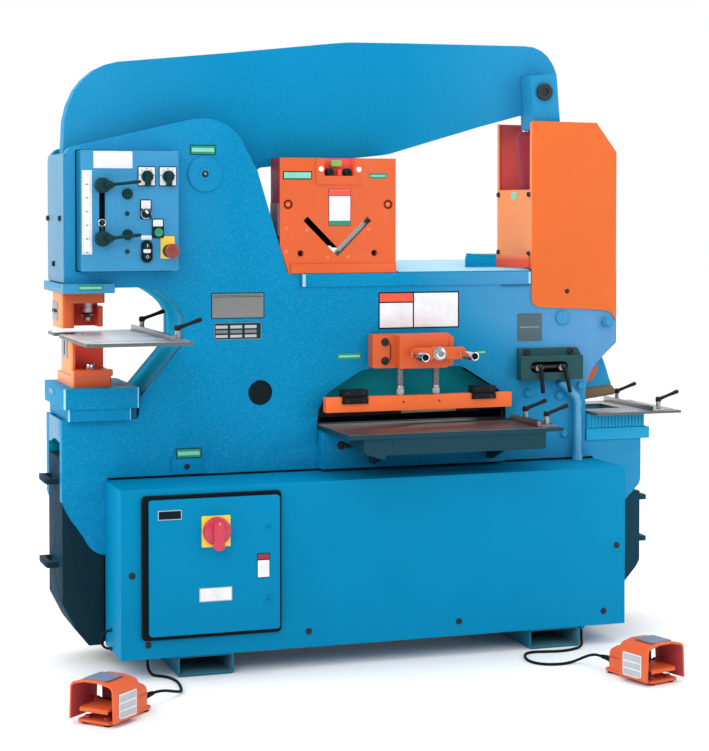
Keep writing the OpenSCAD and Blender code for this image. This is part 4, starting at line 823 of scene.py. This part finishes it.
# painted highlight and shade: pale strips on the pad's ends, a teal strip for the shade under the pad and a dark blue
# strip at its left end
p = Part("front_pad_highlight_and_shade")
p.box(566, 573.6, -6.4, -4.6, 1088, 1124.5, BLUE_TOP_HIGHLIGHT, 0.5)
p.box(476, 570, -5.9, -4.7, 1081.4, 1087.4, TEAL, 0.5)
p.lathe((-160.5, -5.4, 1088), (0, 0, 1), [(4.8, 0), (5.6, 1), (5.6, 36), (4.8, 37), (0, 37)], BLUE_TOP_HIGHLIGHT, 28)
p.box(-171.6, -166.6, -6.0, -4.7, 1087.6, 1125.4, BLUE_DEEP_AND_SHADE, 0.5)
p.done("frame")
p = Part("left_end_panel")
p.prism([(40.4, 711.6), (40.4, 646), (75, 649), (115, 650), (150, 647), (176, 640), (196, 634), (224.6, 632), (224.6, 711.6)], -883.4, -878.6, "x", BLUE_LIT_END, 0.8)
p.lathe((-883, 52, 690), (-1, 0, 0), [(5, 0), (5, 1.2), (4, 2), (0, 2.2)], BLUE_LIT_END, 20)
p.done("frame")
p = Part("die_block_tag")
p.prism(rr(128, 216, 774, 795, 2), -885.0, -883.7, "x", BLUE_DEEP_AND_SHADE, 0.2)
p.prism(rr(131, 213, 777, 792, 1), -885.4, -884.8, "x", BLUE_LIT_END, 0.15)
p.done("frame")
p = Part("notch_block_ribs")
p.box(768, 966, -5.9, -5.15, 633.4, 675.4, NOTCH_BLUE, 0.2)
for k in range(17):
    x = 770.5 + 11.6 * k
    p.prism([(x, -5.4), (x + 0.6, -8), (x + 2, -9.2), (x + 5, -9.2), (x + 6.4, -8), (x + 7, -5.4)], 632.6, 675.8, "z", NOTCH_BLUE, 0.5)
p.done(BODY["station_blocks"])
# guard foot sheet, coloured with painted light and painted shade
p = Part("guard_foot_sheet")
p.prism([(494, 80), (497, 83), (577, 13), (574, 10)], 1137.5, 1177, "z", ORANGE_FOOT_LIT_SHADE, 0.6)
p.done(BODY["cylinder_guard"])
p = Part("cover_box")
p.loft([[(389, 80, 1136), (499, 80, 1136), (519, 140, 1142), (418, 140, 1142)], [(389, 80, 1167), (499, 80, 1163), (519, 140, 1171), (418, 140, 1181)]], BLUE_PLAIN, 1.5, rules=[(lambda p, n: n.z > 0.6, THROAT_HIGHLIGHT)])
p.done("frame")
p = Part("table_bracket_end")
p.prism([(-68, 659.6), (-68, 624), (-60, 616), (-8, 600), (-2, 601), (0, 612.2), (19.8, 612.2), (19.8, 659.6)], -286, -268, "y", TABLE_UNDER_SHADE, 1.2)
p.prism([(-150, 659.6), (-150, 632), (-262, 616), (-267.6, 616), (-267.6, 659.6)], -68, -58, "x", TABLE_UNDER_SHADE, 1.0)
p.lathe((-58, -277, 640), (1, 0, 0), [(5, 0), (5, 3), (4, 4), (0, 4)], BOLT, 20)
p.done(BODY["shear_table"])
# painted highlight: a thin cream strip on the blade under the hold-down bar
p = Part("blade_highlight_strip")
p.prism([(165, 694.8), (345, 697.2), (345, 705), (165, 705)], 42.9, 43.6, "y", BLADE_HIGHLIGHT, 0.2)
p.done("shear_beam_body")
p = Part("guard_badge")
p.prism([(112, 1372), (152, 1372), (152, 1356), (146, 1349), (118, 1349), (112, 1356)], 576.0, 577.2, "x", PALE_GREEN, 0.3)
p.done("frame")

# ------------------------------------------------------------------ gaskets and small pipes
p = Part("cabinet_top_seal")
p.box(-752, 788, -2.9, -0.2, 536.8, 543.5, RUBBER, 0.8)
p.done("frame")
p = Part("drain_pipe")
loop = smooth([(-758, -92, 122), (-774, -92, 119), (-786, -92, 109), (-791, -92, 95), (-787, -92, 81), (-776, -92, 71), (-758, -92, 68)], 5)
p.sweep(loop, 3.6, EDGE_DARK, 14)
for z in (122, 68):
    p.lathe((-759.8, -92, z), (-1, 0, 0), [(6, 0), (6, 4), (5, 5.4), (4.2, 6), (0, 6)], BOLT, 24)
p.done("frame")
p = Part("beam_leaf_spot")
leaf = [(790, 771), (797, 769), (808, 773), (819, 783), (828, 797), (834, 812), (837, 828), (827, 820), (814, 808), (802, 793), (794, 780)]
p.prism(leaf, 59.3, 60.2, "y", ORANGE, 0.2)
p.done("shear_beam_body")

# ------------------------------------------------------------------ door furniture
p = Part("door_furniture")
p.prism(rr(-661, -593, 453, 480, 2), -249.2, -247.7, "y", LEGEND_GREY, 0.3)
p.prism(rr(-658.6, -595.4, 455.4, 477.6, 1.4), -249.8, -249, "y", EDGE_DARK, 0.2)
p.prism(rr(-375, -337, 275, 345, 1.6), -248.8, -247.7, "y", EDGE_DARK, 0.2)
p.prism(rr(-373, -339, 277, 325, 1), -249.2, -248.6, "y", LEGEND, 0.15)
p.prism(rr(-373, -339, 328, 343, 1), -249.2, -248.6, "y", RED_DARK, 0.15)
p.prism(rr(-543, -448, 217, 256, 1.4), -248.8, -247.7, "y", LEGEND_GREY, 0.2)
p.prism(rr(-540.6, -450.4, 219.4, 253.6, 1), -249.1, -248.6, "y", LEGEND, 0.15)
p.prism(rr(-536, -453, 371, 459, 3), -250.6, -247.7, "y", YELLOW, 0.6)
for z in (419, 213):
    p.lathe((-341, -247.8, z), FRONT, [(11, 0), (11, 1.6), (10, 2.6), (6.4, 2.8), (5.8, 1.2), (0, 1.2)], BLUE_PLAIN, 36)
    p.box(-345.5, -336.5, -250.2, -248.6, z - 1.4, z + 1.4, BLUE_DEEP_AND_SHADE, 0.4)
p.done("door_body")
p = Part("disconnect_knob")
p.lathe((-494, -236, 416), FRONT, [(8, 0), (8, 18), (38, 18), (40, 19.6), (40, 27), (38.4, 30), (35, 31.6), (0, 32)], RED, 56)
grip = [(-494 - 14, 440), (-494 - 16, 420), (-494 - 15, 372), (-494 - 8, 366), (-494 + 8, 366), (-494 + 15, 372), (-494 + 16, 420), (-494 + 14, 440), (-494 + 8, 447), (-494 - 8, 447)]
p.prism(grip, -291, -266, "y", RED, 3.5, 3)
p.box(-495.4, -492.6, -291.3, -290.6, 438, 444, YELLOW, 0.15, 1)
p.done("disconnect_body", "disconnect_handle")
p = Part("electrical_gear")
p.prism(rr(-670, -322, 145, 490, 6), -9, -5, "y", PANEL, 0.8)
for x in (-650, -580, -510):
    p.box(x, x + 52, -82, -9, 360, 450, BLACK, 2.0)
    p.box(x + 8, x + 44, -90, -80, 384, 426, LEGEND_GREY, 1.5)
    for k in range(3):
        for z in (368, 442):
            p.lathe((x + 12 + 14 * k, -82, z), FRONT, [(4, -0.5), (4, 1.4), (3, 2.2), (0, 2.2)], STEEL, 16)
p.box(-650, -390, -40, -9, 230, 320, PANEL, 1.5)
for k in range(9):
    p.box(-646 + 28.6 * k, -622 + 28.6 * k, -76, -38, 240, 310, BLACK_GREEN if k % 3 else LEGEND_GREY, 1.2)
p.box(-640, -360, -22, -9, 165, 195, PANEL, 0.8)
for k in range(18):
    p.box(-638 + 15.4 * k, -625 + 15.4 * k, -50, -20, 168, 192, LEGEND_GREY if k % 2 else BLACK_GREEN, 0.8)
p.box(-420, -345, -96, -9, 350, 460, BLUE_DEEP_AND_SHADE, 2.0)
for k in range(6):
    p.box(-416, -349, -100, -94, 360 + 16 * k, 368 + 16 * k, STEEL_MID, 0.8)
p.done("frame", "electrical_panel")

# ------------------------------------------------------------------ clamp levers
def clamp_lever(node, x, y, z):
    p = Part(node + "_set")
    p.lathe((x, y, z), (0, 0, 1), [(8.9, 0), (8.9, 3), (7.4, 4), (7.4, 20.5), (8.4, 21.5), (8.4, 24), (0, 24)], STEEL, 32)
    p.lathe((x, y, z), (0, 0, 1), [(8.8, 22.5), (9.4, 24), (9.4, 31.5), (8.6, 35), (6.5, 37), (3.4, 37.5), (3.4, 36.4), (0, 36.4)], BLACK, 32)
    p.lathe((x, y, z), (0, 0, 1), [(3.0, 36), (3.0, 37.4), (2.4, 38), (0, 38)], STEEL, 20)
    dx, dz = math.sin(math.radians(71)), math.cos(math.radians(71))
    pts = [(x + dx * t, y, z + 29 + dz * t) for t in (0, 8, 16, 28, 42, 56, 66, 71.5, 74)]
    p.sweep(pts, [7, 6.2, 5.6, 5.2, 5.4, 6.0, 6.8, 6.2, 3.2], BLACK, 20)
    p.done(BODY[node], node)


for node, at in (("punch_lever_rear", (-607, 196, 960)), ("punch_lever_front", (-607, -262, 960)), ("shear_lever_rear", (520, -90, 681)), ("shear_lever_front", (520, -246, 681)), ("notcher_lever_rear", (998, 252, 690)), ("notcher_lever_front", (998, -40, 690))):
    clamp_lever(node, *at)

# ------------------------------------------------------------------ punch station
p = Part("ram_and_punch")
PX, PY = -784, 132.5
p.lathe((PX, PY, 0), (0, 0, 1), [(39, 1082), (40, 1083.5), (40, 1358), (46, 1358), (47, 1359.5), (47, 1378), (45.6, 1379.6), (0, 1379.6)], STEEL, 56)
p.lathe((PX, PY, 0), (0, 0, 1), [(14.4, 1015), (15, 1016), (15, 1030), (13.6, 1031), (13.6, 1044), (15, 1045), (15, 1083), (0, 1083)], ALLOY, 12)
p.lathe((PX, PY, 0), (0, 0, 1), [(16.4, 1002), (17.2, 1002.4), (22, 1008.6), (21.2, 1010), (15.4, 1016.6), (0, 1016.6)], CHROME, 8)
p.lathe((PX, PY, 0), (0, 0, 1), [(10, 992), (12, 992.6), (12, 1002.6), (0, 1002.6)], STEEL, 36)
p.done("punch_ram_body", "punch_ram")
p = Part("station_fittings")
# slotted plates on the left faces
p.hoop(rr(106, 192, 994, 1050, 5), rr(132, 166, 1016, 1028, 5.6), -877.0, -874.7, "x", STEEL_MID, 0.5)
p.prism(rr(131, 167, 1015, 1029, 5.6), -875.2, -874.6, "x", RUBBER, 0.1)
for y in (118, 180):
    p.lathe((-876.8, y, 1022), (-1, 0, 0), [(5, 0), (5, 1.6), (4, 2.4), (2.2, 2.4), (2, 1.2), (0, 1.2)], BOLT, 24)
p.hoop(rr(104, 188, 884, 942, 4), rr(138, 154, 892, 936, 7.6), -850.0, -847.7, "x", STEEL_MID, 0.5)
p.prism(rr(137, 155, 891, 937, 7.6), -848.3, -847.6, "x", RUBBER, 0.1)
# nut in the die recess and screws on the die table
p.lathe((-790, 78, 855.6), (0, 0, 1), [(19, 0), (19, 2.5), (17, 3.4), (15.5, 3.4), (15.5, 12), (13.5, 15.5), (9, 18), (4, 19.2), (0, 19.4)], CHROME, 12)
for y in (40, 225):
    p.lathe((-700, y, 790), (0, 0, 1), [(7.6, 0), (7.6, 9), (6.6, 10), (4, 10), (3.6, 5), (0, 5)], BOLT, 28)
for x, y in ((-868, -327), (-868, 272), (-586, -327), (-586, 272)):
    p.lathe((x, y, 954.9), (0, 0, 1), [(4.2, -0.3), (4.2, 0.5), (3.6, 0.9), (2, 0.9), (1.8, 0.2), (0, 0.2)], BOLT, 20)
p.done("frame")

# ------------------------------------------------------------------ hold-down
p = Part("clamp_bar")
p.box(-107, 490, -54, -24, 714, 759, ORANGE_BAR, 2.2, 3)
for x in (131.5, 246.4):
    prof = [(10.0, 783)]
    z = 784.0
    while z < 897:
        prof += [(10.0, z), (11.0, z + 1.0), (11.0, z + 1.5), (10.0, z + 2.5)]
        z += 3.0
    prof += [(9.6, 899), (8.4, 900), (0, 900)]
    p.lathe((x, -40, 0), (0, 0, 1), prof, STEEL_MID, 28)
    hexa = [(x + 12.6 * math.cos(math.radians(60 * i + 15)), -40 + 12.6 * math.sin(math.radians(60 * i + 15))) for i in range(6)]
    p.prism(hexa, 758.8, 779, "z", STEEL, 1.2)
    p.lathe((x, -40, 0), (0, 0, 1), [(10.4, 778.6), (11.4, 779.6), (11.4, 786), (10.2, 788), (0, 788)], STEEL, 32)
    p.lathe((x + 6, -54, 740), FRONT, [(3.6, -0.2), (3.6, 0.5), (2.6, 0.8), (2.4, 0.2), (0, 0.2)], RED_DARK, 20)
for x0, x1, z0 in ((-58, 23, 739), (357, 435, 742)):
    p.box(x0, x1, -62, -53.6, z0, 758, BLACK, 1.6)
    p.box(x0, x1, -62, -26, 761, 781, BLACK, 1.8)
    p.box(x0 + 2, x1 - 2, -60, -28, 757, 762, RUBBER, 0.4)
    for t in (0.2, 0.8):
        xx = x0 + (x1 - x0) * t
        cap_screw(p, (xx, -61.8, 747), FRONT, 4.6, 2.0)
        cap_screw(p, (xx, -61.8, 771), FRONT, 4.6, 2.0)
p.done("holddown_bar_body", "holddown_bar")
p = Part("crank_handles")
HX, HZ = 229, 887.5
p.prism(rr(HX - 88, HX + 88, HZ - 18, HZ + 18, 15), -114, -102, "y", ORANGE, 2.4, 3)
p.lathe((HX, -62, HZ), FRONT, [(10, 0), (10, 19.5), (20, 19.5), (22, 21), (22, 40.5), (0, 40.5)], ORANGE, 40)
p.lathe((HX, -114, HZ), FRONT, [(21, -0.3), (21, 3.2), (19.6, 4), (17, 4.2), (0, 4.2)], STEEL, 40)
hexa = [(HX + 17 * math.cos(math.radians(60 * i + 10)), HZ + 17 * math.sin(math.radians(60 * i + 10))) for i in range(6)]
p.prism(hexa, -127, -117.5, "y", CHROME, 1.8)
p.lathe((HX, -126.6, HZ), FRONT, [(9.6, 0), (9.6, 2.6), (8.4, 3.8), (5, 3.8), (4.6, 1), (0, 1)], STEEL_MID, 28)
for s in (-1, 1):
    x, z = HX + s * 78, HZ - 4
    p.lathe((x, -113, z), FRONT, [(11, 0), (11, 2), (8, 3), (8, 7.5), (12, 8.5), (13, 10), (13, 90.5), (12.2, 92.6), (10.6, 93), (9.6, 92), (9.2, 84), (0, 84)], CHROME, 36)
    p.lathe((x, -196.8, z), FRONT, [(9.1, 0), (9.1, 4.5), (5.2, 4.5), (4.6, 6.6), (0, 6.8)], RUBBER, 28)
p.done("holddown_crank_body", "holddown_crank")
p = Part("housing_lockwire")
p.sweep(smooth([(90, -46, 918), (97, -47, 912), (99, -47, 900), (98, -47, 888), (99, -47, 876), (97, -47, 868), (90, -46, 864)], 5), 1.3, RUBBER, 10)
p.done("frame")

# ------------------------------------------------------------------ lever block
p = Part("short_levers")
p.lathe((559, -34, 832), (1, 0, 0), [(6.4, 0), (7, 0.8), (7, 119.2), (6.4, 120), (0, 120)], BOLT, 28)
for x, foot_x in ((586, 592), (664, 684)):
    p.lathe((x - 9, -34, 832), (1, 0, 0), [(10, 0), (11, 1), (11, 17), (10, 18), (0, 18)], BOLT, 32)
    p.lathe((x, -34, 832), FRONT, [(5.5, 0), (5.5, 18), (0, 18)], BOLT, 24)
    p.prism(rr(x - 15, x + 12, 820, 838, 8.8), -52, -49, "y", STEEL_MID, 0.9)
    p.lathe((x, -51.8, 833), FRONT, [(7.8, 0), (7.8, 5), (7.2, 8), (5, 10), (0, 10.4)], BOLT, 24)
    pts = [Vector((x + 1, -57, 833)).lerp(Vector((foot_x, -60, 752)), t) for t in (0, 0.1, 0.3, 0.55, 0.8, 0.94, 1)]
    p.sweep(pts, [6.4, 6.6, 6.0, 6.0, 6.4, 6.8, 4.6], BLACK, 18)
p.done("block_levers_body", "block_levers")

# ------------------------------------------------------------------ foot switches
def arch(w0, w1, z0, z1, r, crown, n=6):
    """Path over a hood from the left foot to the right foot, half width w0 low and w1 high."""
    out = [(-w0, z0)]
    for i in range(n + 1):
        a = math.pi - math.pi / 2 * i / n
        out.append((-w1 + r + r * math.cos(a), z1 - r + r * math.sin(a)))
    out += [(-w1 * 0.35, z1 + crown), (w1 * 0.35, z1 + crown)]
    for i in range(n + 1):
        a = math.pi / 2 - math.pi / 2 * i / n
        out.append((w1 - r + r * math.cos(a), z1 - r + r * math.sin(a)))
    out.append((w0, z0))
    return out


def foot_place(at, a):
    return Matrix.Translation((at[0], at[1], 0)) @ Matrix.Rotation(math.radians(a), 4, "Z")


p = Part("foot_switch_hoods")
for at, a, s in ((FOOT_L, FOOT_L_A, -1), (FOOT_R, FOOT_R_A, 1)):
    m = foot_place(at, a)
    rings = []
    for x, k in ((0, 1.0), (2.5, 1.6), (6, 1.2), (14, 0.5), (28, 0.1), (60, 0), (112, 0)):
        th = 5.0 if x > 3 else 4.2
        outer = arch(70 + k, 67 + k, 13, 110 + k, 18, 6)
        inner = arch(65 + k * 0.6, 62 + k * 0.6, 13, 105 + k * 0.6, 14, 6)
        rings.append([(x, q[0], q[1]) for q in outer + inner[::-1]])
    # painted shade: the hood's inward- and downward-facing faces take the dark red
    p.loft(rings, ORANGE, 0.9, 2, m, [(lambda c, n: abs(c.y) < 67 and c.z < 113 and (n.z < -0.3 or (c.y > 30 and n.y < -0.5) or (c.y < -30 and n.y > 0.5)) and c.x > 1.5, MAROON)])
    crown = [q for q in arch(69, 66, 13, 109, 18, 6) if q[1] > 40]
    top = [(-66.5, 80)] + crown + [(66.5, 80)]
    p.loft([[(x, q[0] * k, 80 + (q[1] - 80) * k) for q in top] for x, k in ((107, 0.985), (113, 1.0), (116.5, 0.985), (118.5, 0.94))], ORANGE, 0.0, 2, m, [(lambda c, n: n.x < -0.7 or n.z < -0.7, MAROON)])
    p.box(106, 118, -44, 44, 13.2, 81, RED_DARK, 1.5, 2, m)
    rear = arch(45, 43, 13, 75, 15, 4)
    p.loft([[(x, q[0] * k, 13 + (q[1] - 13) * k) for q in rear] for x, k in ((117, 1.02), (150, 1.0), (178, 0.985), (185, 0.97), (188.5, 0.94), (190, 0.89))], ORANGE, 0.0, 2, m)
    # raised boss behind the hood, seam line on both sides
    p.prism(rr(121, 146, -30, 30, 8), 70, 81, "z", ORANGE, 2.5, 3, m)
    for side in (-1, 1):
        p.box(119, 189, side * 44.6 - 0.7, side * 44.6 + 0.7, 49, 51, MAROON, 0.2, 1, m)
    # base plate, rear tab and feet
    p.prism(rr(6, 112, -50, 50, 8), 6, 13.5, "z", ORANGE, 1.2, 2, m)
    p.prism(rr(110, 205, -46, 46, 10), 6, 14, "z", ORANGE, 1.2, 2, m)
    for x in (20, 190):
        for y in (-34, 34):
            p.lathe((x, y, 0), (0, 0, 1), [(7.6, 0.1), (9, 1.2), (9, 5.4), (8, 6.3), (0, 6.3)], RUBBER, 24, m)
    for y in (-30, 30):
        p.lathe((26, y, 13.3), (0, 0, 1), [(9, 0), (8.4, 6), (7, 8), (3, 8), (2.6, 5), (0, 5)], RED_DARK, 24, m)
    # cheek blocks that carry the treadle shaft
    for side in (-1, 1):
        p.prism([(97, 13), (109, 13), (109, 46), (106, 50), (100, 50), (97, 46)], min(side * 50, side * 66), max(side * 50, side * 66), "y", MAROON, 1.0, 2, m)
    # top pad and blank side label
    p.prism(rr(14, 92, -36, 36, 7), 115.2, 118.2, "z", SLATE, 0.8, 2, m)
    sy = s * 68.6
    p.loft([[(x, sy + s * (1.6 - o), z - 0.0) for x, z in rr(24, 100, 19, 84, 2, 3)] for o in (1.6, 0.4)], LEGEND, 0.2, 1, m)
    for z0, z1 in ((22, 39), (42, 59), (62, 81)):
        p.loft([[(x, sy + s * (1.9 - o), z) for x, z in rr(27, 97, z0, z1, 1, 2)] for o in (0.9, 0.45)], LEGEND_GREY, 0.0, 1, m)
    # strain relief
    prof = [(10, 0), (10, 8), (8.6, 10)]
    for k in range(8):
        h = 11 + k * 4.2
        r = 8.4 - 0.36 * k
        prof += [(r, h), (r, h + 2.4), (r - 0.9, h + 2.8), (r - 0.9, h + 3.9)]
    prof += [(4.9, 45), (0, 45)]
    p.lathe((189, s * 30, 38), (1, 0, 0), prof, RUBBER, 24, m)
p.done("frame", "foot_switch_housings", angle=38)

for who, at, a in (("left", FOOT_L, FOOT_L_A), ("right", FOOT_R, FOOT_R_A)):
    m = foot_place(at, a)
    p = Part("treadle_%s_plate" % who)
    p.prism(rr(14, 101, -46, 46, 5), 39, 45, "z", ORANGE, 1.4, 2, m)
    p.prism([(14, 45), (10, 43), (8.5, 38), (8.5, 33), (11, 33), (12, 38), (16, 40)], -44, 44, "y", ORANGE, 0.8, 2, m)
    for k in range(6):
        p.prism(rr(20 + 12 * k, 25 + 12 * k, -40, 40, 2), 44.6, 46.4, "z", ORANGE, 0.6, 2, m)
    p.lathe((103, -49, 42), (0, 1, 0), [(4.5, 0), (4.5, 3), (6, 3), (6, 95), (4.5, 95), (4.5, 98), (0, 98)], BOLT, 24, m)
    p.done("treadle_%s_body" % who, "treadle_" + who)

# ------------------------------------------------------------------ stage
fm = Mat("floor_pale")
fm.colour(fm.mix(fm.span(fm.noise(1.2, 3), 0.3, 0.7, 0, 1), (0.88, 0.88, 0.89, 1), (0.92, 0.92, 0.92, 1)))
fm.rough(0.6)
me = bpy.data.meshes.new("floor")
S = 30.0
me.from_pydata([(-S, -S, 0), (S, -S, 0), (S, S, 0), (-S, S, 0)], [], [(0, 1, 2, 3)])
me.materials.append(fm.m)
floor = bpy.data.objects.new("floor", me)
scene.collection.objects.link(floor)

# pale surround: white behind the machine, softer on the viewer's side
world = bpy.data.worlds.new("studio")
scene.world = world
world.use_nodes = True
wt = world.node_tree
bg = wt.nodes["Background"]
tc = wt.nodes.new("ShaderNodeTexCoord")
sep = wt.nodes.new("ShaderNodeSeparateXYZ")
wt.links.new(tc.outputs["Generated"], sep.inputs[0])


def ramp(source, a, b, lo, hi):
    n = wt.nodes.new("ShaderNodeMapRange")
    for key, v in (("From Min", a), ("From Max", b), ("To Min", lo), ("To Max", hi)):
        n.inputs[key].default_value = v
    wt.links.new(source, n.inputs["Value"])
    return n.outputs["Result"]


def plus(a, b):
    n = wt.nodes.new("ShaderNodeMath")
    n.operation = "ADD"
    wt.links.new(a, n.inputs[0])
    wt.links.new(b, n.inputs[1])
    return n.outputs[0]


level = plus(plus(ramp(sep.outputs[1], -0.35, 0.45, 0.55, 1.0), ramp(sep.outputs[2], 0.2, 0.9, 0.0, 0.75)), ramp(sep.outputs[0], -0.45, -0.95, 0.0, 0.3))
bg.inputs["Color"].default_value = (1, 1, 1, 1)
wt.links.new(level, bg.inputs["Strength"])


def softbox(name, loc, target, size, power, size_y=None):
    ld = bpy.data.lights.new(name, "AREA")
    ld.shape = "RECTANGLE"
    ld.size = size
    ld.size_y = size_y or size
    ld.energy = power
    o = bpy.data.objects.new(name, ld)
    o.location = loc
    o.rotation_mode = "QUATERNION"
    o.rotation_quaternion = (Vector(target) - Vector(loc)).to_track_quat("-Z", "Y")
    scene.collection.objects.link(o)


softbox("key", (-3.0, -4.2, 3.4), (0, 0, 0.9), 2.4, 76)
softbox("left", (-4.6, 0.2, 2.2), (-0.6, 0, 0.9), 2.6, 60)
softbox("fill", (3.4, -4.0, 2.2), (0.2, 0, 0.8), 2.4, 40)
softbox("top", (0.2, -0.4, 4.6), (0, 0, 0.8), 3.0, 40)
